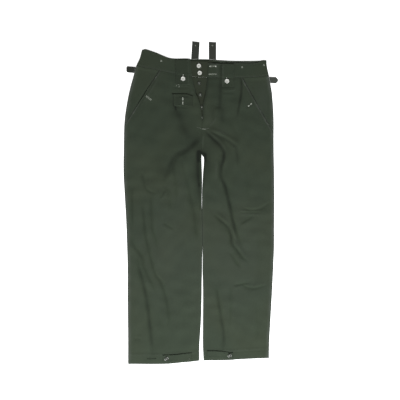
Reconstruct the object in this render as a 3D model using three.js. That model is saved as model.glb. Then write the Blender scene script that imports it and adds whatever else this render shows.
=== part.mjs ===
import * as THREE from "three";

// Fatigue trousers of cotton drill, laid flat on their back with the fly open.
// Millimetres: +X to the wearer's left, +Y to the waist, +Z up, and the floor at z = 0.
// "Right" and "left" are the wearer's, so the right leg lies on the -X side.

const SEAM = 0.3; // gap between neighbouring pieces
const CLOTH = 1.5; // one wall of drill
const BAND = 2; // waistband and straps: cloth folded double
const ROLL = 3.3; // radius of the cloth where it turns under at a side seam or inseam
const RIM = ROLL + SEAM; // where a front's rolled edge ends, just above the back's
const LEG_TOP = 4.9; // face of a front above the floor, in the legs
const HIP_TOP = 6.8; // the same at the hips, over the catch and the pocket facings
const SEAM_TOP = RIM + ROLL; // the same at the ridge along a side seam or inseam
const FACING_TOP = 4.8; // face of a pocket facing where the front lies on it
const LOWEST = 3.6; // lowest a front's face may sink onto the back
const UNDERLAP = 12; // how far a facing or the catch reaches in under a front
const CROTCH_Y = 177;

const OLIVE = 0x444b40;
const GREY = 0x4a4f48;
const DARK = 0x33372f;
const WHITE = 0xd6d6d0;

const clamp = (value, low, high) => Math.min(high, Math.max(low, value));
const mix = (a, b, share) => a + (b - a) * share;
const bell = (distance, width) => Math.exp(-((distance / width) ** 2));

function ease(from, to, value) {
  const t = clamp((value - from) / (to - from), 0, 1);
  return t * t * (3 - 2 * t);
}

// A smooth curve through rows of [place, value], level with its end rows beyond them.
function curve(rows) {
  const last = rows.length - 1;
  const slope = (i) => {
    const [a, b] = [rows[Math.max(i - 1, 0)], rows[Math.min(i + 1, last)]];
    return (b[1] - a[1]) / (b[0] - a[0]);
  };
  return (place) => {
    const at = clamp(place, rows[0][0], rows[last][0]);
    let i = 0;
    while (i < last - 1 && rows[i + 1][0] < at) i += 1;
    const [[t0, v0], [t1, v1]] = [rows[i], rows[i + 1]];
    const [span, t] = [t1 - t0, (at - t0) / (t1 - t0)];
    const [m0, m1] = [slope(i) * span, slope(i + 1) * span];
    const bend = (2 * t ** 3 - 3 * t ** 2 + 1) * v0 + (3 * t ** 2 - 2 * t ** 3) * v1;
    return bend + (t ** 3 - 2 * t ** 2 + t) * m0 + (t ** 3 - t ** 2) * m1;
  };
}

const straight = ([x0, y0], [x1, y1]) => (at) => mix(x0, x1, (at - y0) / (y1 - y0));
const level = (value) => () => value;
const shifted = (line, by) => (at) => line(at) + by;

// The outline, a row for each section from the hem to the waist's top edge. Below the crotch
// the inner columns are the inseams, and above it the centre seam and the open fly's two edges.
const SECTIONS = [
  { y: -577, rightSide: -265.2, rightInner: -5.6, leftInner: 9.8, leftSide: 249.0 },
  { y: -520, rightSide: -265.2, rightInner: -4.7, leftInner: 7.5, leftSide: 249.4 },
  { y: -429, rightSide: -265.8, rightInner: 0.9, leftInner: 7.7, leftSide: 254.2 },
  { y: -341, rightSide: -266.7, rightInner: 3.4, leftInner: 8.1, leftSide: 259.3 },
  { y: -297, rightSide: -266.6, rightInner: 3.6, leftInner: 7.5, leftSide: 261.6 },
  { y: -254, rightSide: -266.6, rightInner: 4.6, leftInner: 6.3, leftSide: 263.7 },
  { y: -210, rightSide: -267.4, rightInner: 5.2, leftInner: 6.6, leftSide: 265.6 },
  { y: -166, rightSide: -268.7, rightInner: 5.8, leftInner: 6.4, leftSide: 267.3 },
  { y: -122, rightSide: -270.2, rightInner: 5.9, leftInner: 6.3, leftSide: 267.6 },
  { y: -78, rightSide: -271.8, rightInner: 5.7, leftInner: 6.1, leftSide: 267.6 },
  { y: -35, rightSide: -274.0, rightInner: 4.0, leftInner: 4.4, leftSide: 267.9 },
  { y: 9, rightSide: -276.6, rightInner: 3.7, leftInner: 4.2, leftSide: 268.3 },
  { y: 38, rightSide: -278.2, rightInner: 4.0, leftInner: 4.6, leftSide: 268.1 },
  { y: 62, rightSide: -279.6, rightInner: 4.9, leftInner: 6.1, leftSide: 267.9 },
  { y: 97, rightSide: -281.5, rightInner: 4.8, leftInner: 7.5, leftSide: 267.6 },
  { y: 148, rightSide: -282.0, rightInner: 2.2, leftInner: 10.4, leftSide: 266.8 },
  { y: CROTCH_Y, rightSide: -281.2, rightInner: 3.2, leftInner: 4.0, leftSide: 266.2 },
  { y: 228, rightSide: -280.4, rightInner: 3.7, leftInner: 4.3, leftSide: 265.7 },
  { y: 279, rightSide: -279.3, rightInner: 4.1, leftInner: 4.8, leftSide: 266.0 },
  { y: 319, rightSide: -275.8, rightInner: 2.6, leftInner: 6.2, leftSide: 265.2 },
  { y: 352, rightSide: -270.8, rightInner: -1.5, leftInner: 7.6, leftSide: 263.4 },
  { y: 381, rightSide: -265.7, rightInner: -10.2, leftInner: 13.4, leftSide: 261.1 },
  { y: 396, rightSide: -262.6, rightInner: -17.5, leftInner: 17.2, leftSide: 259.9 },
  { y: 425, rightSide: -255.6, rightInner: -24.5, leftInner: 20.8, leftSide: 255.1 },
  { y: 458, rightSide: -246.4, rightInner: -31.0, leftInner: 23.0, leftSide: 249.2 },
  { y: 498, rightSide: -235.6, rightInner: -35.0, leftInner: 25.6, leftSide: 241.0 },
  { y: 527, rightSide: -222.7, rightInner: -38.0, leftInner: 26.6, leftSide: 239.6 },
  { y: 560, rightSide: -213.8, rightInner: -39.4, leftInner: 27.0, leftSide: 238.0 },
];
const outline = (column) => curve(SECTIONS.map((row) => [row.y, row[column]]));
const centreBack = curve([[CROTCH_Y, 3.6], [458, 10.6], [530, 10.6]]);

// The seam under the waistband, and the waistband's top edges.
const waistSeam = curve([
  [-247, 501.5], [-156, 483.2], [-98, 470.6], [-31, 459.6], [23, 456.4],
  [117, 455.2], [165, 456], [212, 458.6], [250, 462],
]);
const frontTop = curve([
  [-222, 545], [-216, 554], [-209, 558.6], [-200, 559.4], [-182, 554], [-160, 546], [-138, 536.6],
  [-116, 528.2], [-94, 525.4], [-39, 524.5], [27, 508], [128, 508.5], [205, 509.2], [220, 518.6], [240, 519],
]);
const backTop = curve([
  [-222, 542], [-214, 550], [-205, 553], [-182, 551], [-138, 533], [-94, 523], [-39, 523], [11, 523],
  [59, 520.3], [114, 517.2], [180, 516.8], [240, 518.4],
]);

const RIGHT = {
  name: "right",
  in: 1, // +X leads from this side seam into the leg
  side: outline("rightSide"),
  inner: outline("rightInner"),
  hem: curve([[-265, -589], [-127, -589], [-61, -583], [-35, -580.8], [-7, -577]]),
  pocket: { foot: [-278.9, 279], head: [-150, 481] },
};
const LEFT = {
  name: "left",
  in: -1,
  side: outline("leftSide"),
  inner: outline("leftInner"),
  hem: curve([[10, -576.4], [75, -575.8], [106, -574.8], [136, -572.4], [220, -568.4], [249, -567]]),
  pocket: { foot: [265.7, 250], head: [150.5, 455] },
};

// The largest folds, each a line down the cloth: a valley `depth` deep and a ridge `rise` high
// beside it, on the +X side where `ridge` is 1 and on the other where it is -1.
const FOLDS = [
  { of: "front_left pleat", depth: 1.6, rise: 0.8, ridge: 1, width: 7,
    line: [[146, 500], [146, 459], [147, 424], [143.5, 390], [137, 356], [132, 321], [130, 295]] },
  { of: "right hip, soft", depth: 1.4, rise: 1.6, ridge: -1, width: 20,
    line: [[-104, 385], [-90, 345], [-78, 315], [-68, 285], [-52, 255], [-38, 225]] },
  { of: "right crotch", depth: 2.6, rise: 2.4, ridge: 1, width: 10,
    line: [[-10, 238], [-41, 208], [-66, 190], [-92, 175], [-108, 150], [-121, 120], [-139, 90], [-160, 84]] },
  { of: "right thigh, long", depth: 2, rise: 3, ridge: 1, width: 9,
    line: [[-219, 30], [-216, -7], [-208, -88], [-196, -157], [-171, -254], [-147, -291], [-127, -363],
      [-120, -410], [-121, -436], [-135, -475]] },
  { of: "right thigh, beside it", depth: 1.6, rise: 2, ridge: 1, width: 8,
    line: [[-187, 40], [-185, 5], [-181, -88], [-163, -143], [-160, -175]] },
  { of: "right knee, outer", depth: 1.4, rise: 2, ridge: -1, width: 8,
    line: [[-254, -125], [-245, -153], [-217, -195], [-209, -232], [-176, -301], [-164, -327]] },
  { of: "right calf, to the hem", depth: 2, rise: 2.6, ridge: -1, width: 8,
    line: [[-234, -200], [-228, -234], [-207, -315], [-189, -425], [-187, -477], [-179, -522], [-174, -540]] },
  { of: "right inner thigh", depth: 1.6, rise: 2, ridge: -1, width: 9,
    line: [[-46, 55], [-40, 21], [-27.5, -35], [-24, -77], [-14, -130]] },
  { of: "left crotch", depth: 2.8, rise: 3, ridge: 1, width: 9,
    line: [[15, 262], [46, 232], [66, 214], [81, 190], [80, 163], [73, 136], [72, 107]] },
  { of: "left crotch, outer", depth: 1.4, rise: 2.4, ridge: 1, width: 10,
    line: [[36, 258], [80, 238], [108, 221], [123, 208], [128, 184], [132, 156]] },
  { of: "left thigh, long", depth: 2.4, rise: 2.6, ridge: -1, width: 9,
    line: [[70, 115], [77, 88], [87, 62], [95, 33], [101, 5], [108, -24], [113, -53], [121, -81],
      [129, -109], [141, -137]] },
  { of: "left knee", depth: 2.4, rise: 3, ridge: 1, width: 9,
    line: [[50, -44], [72, -66], [95, -88], [107, -116], [111, -145], [130, -172], [148, -196], [160, -206]] },
  { of: "left knee, below", depth: 1.2, rise: 1.4, ridge: -1, width: 8,
    line: [[104, -172], [113, -190], [133, -221], [146, -240]] },
  { of: "left calf, to the hem", depth: 1.8, rise: 2, ridge: 1, width: 8,
    line: [[52, -275], [60, -345], [68, -392], [72, -422], [78, -452], [81, -482], [81, -535]] },
];

// Where a place lies by a fold's line: its distance to the +X side, and its share of the way down.
function placeBy(line, x, y) {
  let nearest = { distance: Infinity };
  let travelled = 0;
  for (let i = 1; i < line.length; i += 1) {
    const [[x0, y0], [x1, y1]] = [line[i - 1], line[i]];
    const [dx, dy] = [x1 - x0, y1 - y0];
    const length = Math.hypot(dx, dy);
    const share = clamp(((x - x0) * dx + (y - y0) * dy) / length ** 2, 0, 1);
    const distance = Math.hypot(x - x0 - dx * share, y - y0 - dy * share);
    if (distance < nearest.distance) {
      const side = Math.sign(dx * (y - y0) - dy * (x - x0));
      nearest = { distance, aside: distance * side, way: travelled + share * length };
    }
    travelled += length;
  }
  return { aside: nearest.aside, share: nearest.way / travelled };
}

function foldHeight(fold, x, y) {
  const { aside, share } = placeBy(fold.line, x, y);
  const fade = ease(0, 0.22, share) * ease(0, 0.22, 1 - share);
  const across = aside * fold.ridge - 1.7 * fold.width;
  return fade * (fold.rise * bell(across, 1.2 * fold.width) - fold.depth * bell(aside, fold.width));
}

// Face of a pocket facing: a ridge along the side seam, easing down to where the front covers it.
function facingFace(leg, x, y) {
  const fromSide = Math.abs(x - leg.side(y));
  return FACING_TOP + (SEAM_TOP - FACING_TOP) * bell(fromSide, 8);
}

// Face of a front above the floor: flat cloth, ridges along the seams, a rise over the fly's
// buttons and the pocket facing, and the folds. A soft floor keeps the valleys off the back.
function frontFace(leg, x, y) {
  const fromSide = Math.abs(x - leg.side(y));
  const fromInner = Math.abs(x - leg.inner(y));
  const hip = ease(CROTCH_Y - 90, CROTCH_Y + 40, y);
  const flat = mix(LEG_TOP, HIP_TOP, hip);
  const seams = (SEAM_TOP - flat) * (bell(fromSide, 14) + bell(fromInner, 14) * (1 - hip));
  const fly = 1.6 * bell(fromInner, 26) * ease(255, 300, y) * ease(460, 400, y);
  const plain = flat + seams + fly;
  const folds = FOLDS.reduce((sum, fold) => sum + foldHeight(fold, x, y), 0);
  const face = plain + folds * ease(0, 16, fromSide) * ease(-2, 14, fromInner);
  const raised = face < LOWEST + 1 ? LOWEST + Math.exp(face - LOWEST - 1) : face;
  const [pocketX, overPocket] = [straight(leg.pocket.foot, leg.pocket.head)(y), leg.pocket.foot[1] - 6];
  const lap = ease(UNDERLAP + 26, UNDERLAP + 3, Math.abs(x - pocketX)) * ease(overPocket, overPocket + 5, y);
  return Math.max(raised, mix(0, facingFace(leg, x, y) + CLOTH + 2 * SEAM, lap));
}

const bandFace = level(HIP_TOP + 0.1);

// Evenly spaced shares from 0 to 1, with the named ones added and their near neighbours left out.
function shares(count, named = []) {
  const even = Array.from({ length: count + 1 }, (_, i) => i / count);
  const near = (share) => named.some((one) => Math.abs(one - share) < 0.4 / count);
  const inside = even.slice(1, -1).filter((share) => !near(share));
  return [0, 1, ...inside, ...named].sort((a, b) => a - b);
}

// The place at share u from edge `from` to edge `to`, which give x at a y, and at share v from
// `lower` to `upper`, which give y at an x.
function placeIn(patch, u, v) {
  let [x, y] = [0, 0];
  for (let i = 0; i < 12; i += 1) {
    y = mix(patch.lower(x), patch.upper(x), v);
    x = mix(patch.from(y), patch.to(y), u);
  }
  return [x, y];
}

// One row of a panel's wall at share v: [outer point, inner point] for each column. `wall` is
// positive where the inside lies below the face. An edge listed in `turned` rolls round by that
// share of a quarter turn, from the face to `rim`. Other edges are cut square.
function panelRow(patch, v) {
  const { face, wall, rim = 0, turned = {}, columns } = patch;
  const [start, end] = [placeIn(patch, 0, v), placeIn(patch, 1, v)];
  const into = Math.sign(end[0] - start[0]);
  const point = (x) => {
    const y = mix(patch.lower(x), patch.upper(x), v);
    return [[x, y, face(x, y)], [x, y, face(x, y) - wall]];
  };
  const edge = ([x, y], towards, amount) => {
    if (!amount) return [point(x)];
    const [share, top] = [amount(y), face(x + towards * ROLL, y)];
    return [0, Math.PI / 4, Math.PI / 2].map((turn) => {
      const [outer, inner] = point(x + towards * ROLL * (1 - Math.cos(turn)));
      const reach = ROLL - (ROLL - Math.abs(wall)) * Math.cos(turn);
      outer[2] = mix(outer[2], rim + (top - rim) * Math.sin(turn), share);
      inner[0] = mix(inner[0], x + towards * reach, share);
      inner[2] = mix(inner[2], rim + (top - wall - rim) * Math.sin(turn), share);
      return [outer, inner];
    });
  };
  const x0 = start[0] + (turned.from ? into * ROLL : 0);
  const x1 = end[0] - (turned.to ? into * ROLL : 0);
  const middle = shares(columns).slice(1, -1).map((u) => point(mix(x0, x1, u)));
  return [...edge(start, into, turned.from), ...middle, ...edge(end, -into, turned.to).reverse()];
}

// A closed wall between a grid of outer points and a grid of inner ones.
function closedWall(rows) {
  const [high, wide] = [rows.length, rows[0].length];
  const flat = rows.flat();
  const positions = [...flat.flatMap(([outer]) => outer), ...flat.flatMap(([, inner]) => inner)];
  const index = [];
  const quad = (a, b, c, d) => index.push(a, b, c, a, c, d);
  const at = (row, column) => row * wide + column;
  const under = (row, column) => at(row, column) + flat.length;
  for (let i = 0; i < high - 1; i += 1) {
    for (let j = 0; j < wide - 1; j += 1) {
      quad(at(i, j), at(i, j + 1), at(i + 1, j + 1), at(i + 1, j));
      quad(under(i, j), under(i + 1, j), under(i + 1, j + 1), under(i, j + 1));
    }
    quad(at(i, 0), at(i + 1, 0), under(i + 1, 0), under(i, 0));
    quad(at(i + 1, wide - 1), at(i, wide - 1), under(i, wide - 1), under(i + 1, wide - 1));
  }
  for (let j = 0; j < wide - 1; j += 1) {
    quad(at(0, j + 1), at(0, j), under(0, j), under(0, j + 1));
    quad(at(high - 1, j), at(high - 1, j + 1), under(high - 1, j + 1), under(high - 1, j));
  }
  const geometry = new THREE.BufferGeometry();
  geometry.setAttribute("position", new THREE.Float32BufferAttribute(positions, 3));
  geometry.setIndex(facesOut(positions, index) ? index : index.reverse());
  geometry.computeVertexNormals();
  return geometry;
}

// Whether the triangles wind outward: the volume that they enclose comes out positive.
function facesOut(positions, index) {
  const vertex = (i) => new THREE.Vector3().fromArray(positions, index[i] * 3);
  let volume = 0;
  for (let i = 0; i < index.length; i += 3) {
    volume += vertex(i).dot(vertex(i + 1).cross(vertex(i + 2)));
  }
  return volume > 0;
}

const part = new THREE.Group();
part.name = "fatigue_trousers";

function add(name, geometry, color, roughness = 0.9) {
  const mesh = new THREE.Mesh(geometry, new THREE.MeshStandardMaterial({ color, roughness, metalness: 0 }));
  mesh.name = name;
  part.add(mesh);
  return mesh;
}

function addPanel(name, patch, color = OLIVE) {
  const rows = shares(patch.rows, patch.stops).map((v) => panelRow(patch, v));
  return add(name, closedWall(rows), color);
}

// Shares of the way up an edge, just below and just above a height on it.
function stopsAt(low, high, y, apart) {
  return [(y - apart - low) / (high - low), (y + apart - low) / (high - low)];
}

function addLeg(leg) {
  const [foot, head] = [leg.pocket.foot, leg.pocket.head];
  const mouth = straight(foot, head);
  const below = (y, turnY, apart) => ease(turnY + apart, turnY - apart, y);
  const outer = (y) => (y < foot[1] ? leg.side(y) : mouth(y));
  const crotch = stopsAt(leg.hem(0), waistSeam(0), CROTCH_Y, 6);
  addPanel(`front_${leg.name}`, {
    from: outer, to: leg.inner, lower: leg.hem, upper: shifted(waistSeam, -SEAM),
    face: (x, y) => frontFace(leg, x, y), wall: CLOTH, rim: RIM,
    turned: { from: (y) => below(y, foot[1], 2), to: (y) => below(y, CROTCH_Y, 5) },
    columns: 19, rows: 34,
    stops: [...crotch, ...stopsAt(leg.hem(foot[0]), waistSeam(foot[0]), foot[1], 2.5)],
  });
  const inner = (y) => (y < CROTCH_Y ? leg.inner(y) : centreBack(y) - (leg.in * SEAM) / 2);
  addPanel(`back_${leg.name}`, {
    from: leg.side, to: inner, lower: leg.hem, upper: shifted(waistSeam, -SEAM),
    face: level(0), wall: -CLOTH, rim: ROLL,
    turned: { from: level(1), to: (y) => below(y, CROTCH_Y, 5) },
    columns: 9, rows: 15, stops: crotch,
  });
  addPanel(`pocket_facing_${leg.name}`, {
    from: leg.side, to: shifted(mouth, leg.in * UNDERLAP),
    lower: level(foot[1] + 5), upper: shifted(waistSeam, -SEAM),
    face: (x, y) => facingFace(leg, x, y), wall: CLOTH, rim: RIM,
    turned: { from: level(1) },
    columns: 5, rows: 10,
  }, GREY);
}

function addWaist() {
  const turned = { from: level(1) };
  for (const leg of [RIGHT, LEFT]) {
    addPanel(`waistband_front_${leg.name}`, {
      from: leg.side, to: leg.inner, lower: waistSeam, upper: frontTop,
      face: bandFace, wall: BAND, rim: RIM, turned, columns: 14, rows: 2,
    });
  }
  addPanel("waistband_back", {
    from: RIGHT.side, to: LEFT.side, lower: waistSeam, upper: backTop,
    face: level(0), wall: -BAND, rim: ROLL, turned: { from: level(1), to: level(1) },
    columns: 22, rows: 2,
  });
}

// The button catch lies on the back, under both fronts. Its waistband end carries two buttons.
const CATCH_FACE = 3.8;
const CATCH_BAND_FACE = 4.3;
function addCatch() {
  const under = curve([[270, 22], [330, 34], [458, 42]]);
  addPanel("fly_catch", {
    from: shifted(RIGHT.inner, -UNDERLAP), to: under, lower: level(270), upper: shifted(waistSeam, -SEAM),
    face: level(CATCH_FACE), wall: CLOTH, columns: 4, rows: 9,
  }, GREY);
  addPanel("waistband_catch", {
    from: shifted(RIGHT.inner, -UNDERLAP), to: level(42), lower: waistSeam, upper: level(516),
    face: level(CATCH_BAND_FACE), wall: BAND, columns: 4, rows: 1,
  }, GREY);
}

// The face under a piece that lies on the waistband and the front.
const clothFace = (leg) => (x, y) => (y > waistSeam(x) ? bandFace() : frontFace(leg, x, y));
const PROUD = 2 * SEAM; // clearance under a piece laid on folded cloth
const lying = (face, wall) => (x, y) => face(x, y) + PROUD + wall;

function addOverlay(name, leg, edges, { wall = BAND, columns = 5, rows = 8, color = OLIVE } = {}) {
  addPanel(name, {
    from: straight(edges.from[0], edges.from[1]), to: straight(edges.to[0], edges.to[1]),
    lower: edges.lower, upper: edges.upper,
    face: lying(clothFace(leg), wall), wall, columns, rows,
  }, color);
}

const BELT_LOOPS = [
  { leg: RIGHT, foot: 430, head: 522, footX: [-92, -40], headX: [-95, -45] },
  { leg: LEFT, foot: 423, head: 506, footX: [77, 121], headX: [76, 121] },
];
const ANKLE_STRAPS = [
  { leg: RIGHT, from: -139, to: -33, middle: [[-139, -568.5], [-91, -566.5], [-58, -562], [-33, -560]], half: 12 },
  { leg: LEFT, from: 22, to: 117, middle: [[22, -552], [68, -553], [104, -558], [117, -559.5]], half: 11.5 },
];
function addOverlays() {
  for (const { leg, foot, head, footX, headX } of BELT_LOOPS) {
    addOverlay(`belt_loop_${leg.name}`, leg, {
      from: [[footX[0], foot], [headX[0], head]], to: [[footX[1], foot], [headX[1], head]],
      lower: level(foot), upper: level(head),
    });
  }
  for (const { leg, from, to, middle, half } of ANKLE_STRAPS) {
    addOverlay(`ankle_strap_${leg.name}`, leg, {
      from: [[from, -600], [from, -500]], to: [[to, -600], [to, -500]],
      lower: shifted(curve(middle), -half), upper: shifted(curve(middle), half),
    }, { columns: 9, rows: 2, color: GREY });
  }
  addOverlay("watch_pocket_flap", RIGHT, {
    from: [[-96, 352], [-105, 396]], to: [[-30, 350], [-28, 386]],
    lower: curve([[-96, 353], [-30, 350]]), upper: curve([[-105, 396.5], [-50, 395], [-28, 387]]),
  }, { wall: CLOTH, rows: 4 });
}

// Tab ends that stick out from under the side seams and droop to the floor: a rounded one and a
// pointed one. An end's shape gives the share of its half width at a distance from the tip.
const TAB_CORNER = 6; // radius of the rounded end's corners
const TAB_POINT = 11; // length of the point
const rounded = (half) => (away) => {
  const short = TAB_CORNER - Math.min(away, TAB_CORNER);
  return 1 - (TAB_CORNER - Math.sqrt(TAB_CORNER ** 2 - short ** 2)) / half;
};
const pointed = () => (away) => clamp(away / TAB_POINT, 0.04, 1);
const SIDE_TABS = [
  { leg: RIGHT, end: rounded, root: 483.5, tip: [-271.8, 486.5], half: 11.6 },
  { leg: LEFT, end: pointed, root: 447, tip: [281.8, 446], half: 11.4 },
];
const STRAPS = [
  { name: "right", rootX: [-35.6, -7.6], tips: [[-31.4, 588.9], [-4, 585.2]] },
  { name: "left", rootX: [29.2, 56.2], tips: [[29.2, 586.6], [56.2, 584.8]] },
];
function addTabsAndStraps() {
  for (const { leg, end, root, tip, half } of SIDE_TABS) {
    const reach = Math.abs(tip[0] - leg.side(root));
    const away = (x) => Math.abs(tip[0] - x);
    const middle = (x) => mix(tip[1], root, clamp(away(x) / reach, 0, 1));
    const spread = (x) => half * end(half)(away(x));
    const seamGap = -leg.in * SEAM;
    addPanel(`side_tab_${leg.name}`, {
      from: shifted(leg.side, seamGap), to: level(tip[0]),
      lower: (x) => middle(x) - spread(x), upper: (x) => middle(x) + spread(x),
      face: (x) => CLOTH + 2.6 * ease(26, 4, Math.abs(x - leg.side(root))), wall: CLOTH,
      columns: 9, rows: 2,
    }, DARK);
  }
  for (const { name, rootX, tips } of STRAPS) {
    addPanel(`brace_strap_${name}`, {
      from: straight([rootX[0], 520], tips[0]), to: straight([rootX[1], 520], tips[1]),
      lower: shifted(backTop, SEAM), upper: curve(tips),
      face: level(BAND), wall: BAND, columns: 2, rows: 2,
    }, GREY);
  }
}

// A sewn-through button: a flat back, a rounded rim and a sunk middle.
function buttonShape(diameter, thick) {
  const radius = diameter / 2;
  const profile = [
    [0, 0], [radius * 0.8, 0], [radius, thick * 0.5],
    [radius * 0.85, thick], [radius * 0.5, thick * 0.6], [0, thick * 0.6],
  ].map(([r, z]) => new THREE.Vector2(r, z));
  return new THREE.LatheGeometry(profile, 14).rotateX(Math.PI / 2);
}

const BUTTONS = [
  { name: "waistband_button_upper", at: [-6.9, 498.6], seat: CATCH_BAND_FACE, size: 16, color: WHITE },
  { name: "waistband_button_lower", at: [-3.7, 472.7], seat: CATCH_BAND_FACE, size: 16, color: WHITE },
  { name: "fly_button_1", at: [-5.7, 434.4], seat: CATCH_FACE, size: 14, color: DARK },
  { name: "fly_button_2", at: [-1.5, 392.4], seat: CATCH_FACE, size: 14, color: DARK },
  { name: "fly_button_3", at: [3.6, 346.8], seat: CATCH_FACE, size: 14, color: DARK },
  { name: "fly_button_4", at: [4.6, 308.4], seat: CATCH_FACE, size: 14, color: DARK },
  { name: "belt_loop_button_right", at: [-64.6, 451.4], leg: RIGHT, size: 16, color: WHITE },
  { name: "belt_loop_button_left", at: [95.6, 442.4], leg: LEFT, size: 16, color: WHITE },
  { name: "ankle_button_right", at: [-124.8, -570.1], leg: RIGHT, size: 15, color: DARK },
  { name: "ankle_button_left", at: [105.5, -559], leg: LEFT, size: 15, color: DARK },
];
const BUTTON_THICK = { 14: 2, 15: 2.2, 16: 2.7 };
function addButtons() {
  for (const { name, at: [x, y], seat, leg, size, color } of BUTTONS) {
    const strapTop = leg ? lying(clothFace(leg), BAND)(x, y) + PROUD : seat + SEAM;
    add(name, buttonShape(size, BUTTON_THICK[size]), color, 0.5).position.set(x, y, strapTop);
  }
}

addLeg(RIGHT);
addLeg(LEFT);
addWaist();
addCatch();
addOverlays();
addTabsAndStraps();
addButtons();

export default part;
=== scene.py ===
"""Fatigue trousers of grey-green cotton twill, laid flat on their back with the fly open.

The script runs from top to bottom in the order that a maker puts the garment together.
Cuts, folds and seams are worked out in millimetres, in the frame's own axes: +X to the
wearer's left, +Y to the waist, +Z up. Meshes are made in metres.
"""

from functools import partial

import bpy
import numpy as np
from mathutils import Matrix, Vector


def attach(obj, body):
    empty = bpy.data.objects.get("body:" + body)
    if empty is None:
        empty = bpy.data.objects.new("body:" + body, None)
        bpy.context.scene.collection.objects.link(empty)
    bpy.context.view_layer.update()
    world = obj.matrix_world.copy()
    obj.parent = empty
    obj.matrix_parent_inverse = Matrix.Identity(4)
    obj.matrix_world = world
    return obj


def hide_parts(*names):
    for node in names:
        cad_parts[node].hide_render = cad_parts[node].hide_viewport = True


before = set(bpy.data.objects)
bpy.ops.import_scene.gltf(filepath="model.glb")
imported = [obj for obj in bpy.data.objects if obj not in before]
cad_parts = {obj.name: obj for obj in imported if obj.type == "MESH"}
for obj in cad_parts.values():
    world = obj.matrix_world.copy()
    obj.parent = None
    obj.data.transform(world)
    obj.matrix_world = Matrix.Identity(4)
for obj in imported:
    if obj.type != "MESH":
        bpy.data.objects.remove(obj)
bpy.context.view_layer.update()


# ---------------------------------------------------------------- cloth: twill, its finish
# The trousers are cut from matte cotton twill, piece-dyed grey-green and rubbed paler along
# the seams; painted shade darkens its folds and creases, and painted highlights and shadows
# mark its edges and welts. A twill's fine diagonal ribs, slubs and a short nap are worked into
# its finish.

METRE = 0.001


class Wire:
    """A material's socket. Arithmetic on it, with numbers or other wires, adds Math nodes."""

    def __init__(self, finish, socket):
        self.finish = finish
        self.socket = socket

    def math(self, operation, *values):
        return self.finish.node("ShaderNodeMath", {"operation": operation}, dict(enumerate(values)))

    def __add__(self, other):
        return self.math("ADD", self, other)

    def __sub__(self, other):
        return self.math("SUBTRACT", self, other)

    def __rsub__(self, other):
        return self.math("SUBTRACT", other, self)

    def __mul__(self, other):
        return self.math("MULTIPLY", self, other)

    __radd__ = __add__
    __rmul__ = __mul__

    def sine(self):
        return self.math("SINE", self)

    def between(self, low, high):
        """0 at low, 1 at high and beyond, straight between them."""
        settings = {"clamp": True}
        sockets = {"Value": self, "From Min": low, "From Max": high}
        return self.finish.node("ShaderNodeMapRange", settings, sockets)


class Finish:
    """A new material round one Principled shader, with its steady sockets set by name."""

    def __init__(self, name, **steady):
        self.material = bpy.data.materials.new(name)
        self.material.use_nodes = True
        self.tree = self.material.node_tree
        self.shader = self.tree.nodes["Principled BSDF"]
        for socket, value in steady.items():
            self.shader.inputs[socket.replace("_", " ")].default_value = value

    def node(self, kind, settings=None, sockets=None, output=0):
        """Adds a node: its settings first, then its sockets, each a value or a wire."""
        made = self.tree.nodes.new(kind)
        for key, value in (settings or {}).items():
            setattr(made, key, value)
        for key, value in (sockets or {}).items():
            self.join(made.inputs[key], value)
        return Wire(self, made.outputs[output])

    def join(self, socket, value):
        if isinstance(value, Wire):
            self.tree.links.new(value.socket, socket)
        else:
            socket.default_value = value

    def noise(self, place, scale, detail=2.0):
        sockets = {"Vector": place, "Scale": scale, "Detail": detail}
        return self.node("ShaderNodeTexNoise", None, sockets, output="Fac")

    def across_and_along(self, place):
        """The wires of a place's first and second coordinate."""
        across = self.node("ShaderNodeSeparateXYZ", None, {"Vector": place}, output="X")
        return across, Wire(self, across.socket.node.outputs["Y"])

    def tint(self, share, one, other):
        """A colour between two, by a share from 0 to 1."""
        sockets = {"Factor": share, 6: one, 7: other}
        return self.node("ShaderNodeMix", {"data_type": "RGBA"}, sockets, output=2)


RIB = 1.15  # millimetres from one rib of the twill to the next
RIB_LEAN = (0.87, 0.5)  # the way across the ribs: the cosine and sine of about 30 degrees
WEFT_TO_RIB = 1.7  # weft threads for each rib
DEEPER, LIGHTER = 0.87, 1.13  # how far the dye runs below and above its own colour
WARMER = (1.08, 0.99, 0.93)  # and how it drifts in broad patches
# Below the plain tone the cloth takes painted shade, at most DEEPEST darker; above it, wear and painted
# highlight.
PLAIN_TONE = 0.5  # the attribute `rub` where the cloth is neither creased nor rubbed
DEEPEST = 0.75  # how much darker the cloth is than its colour where `rub` is 0


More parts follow.
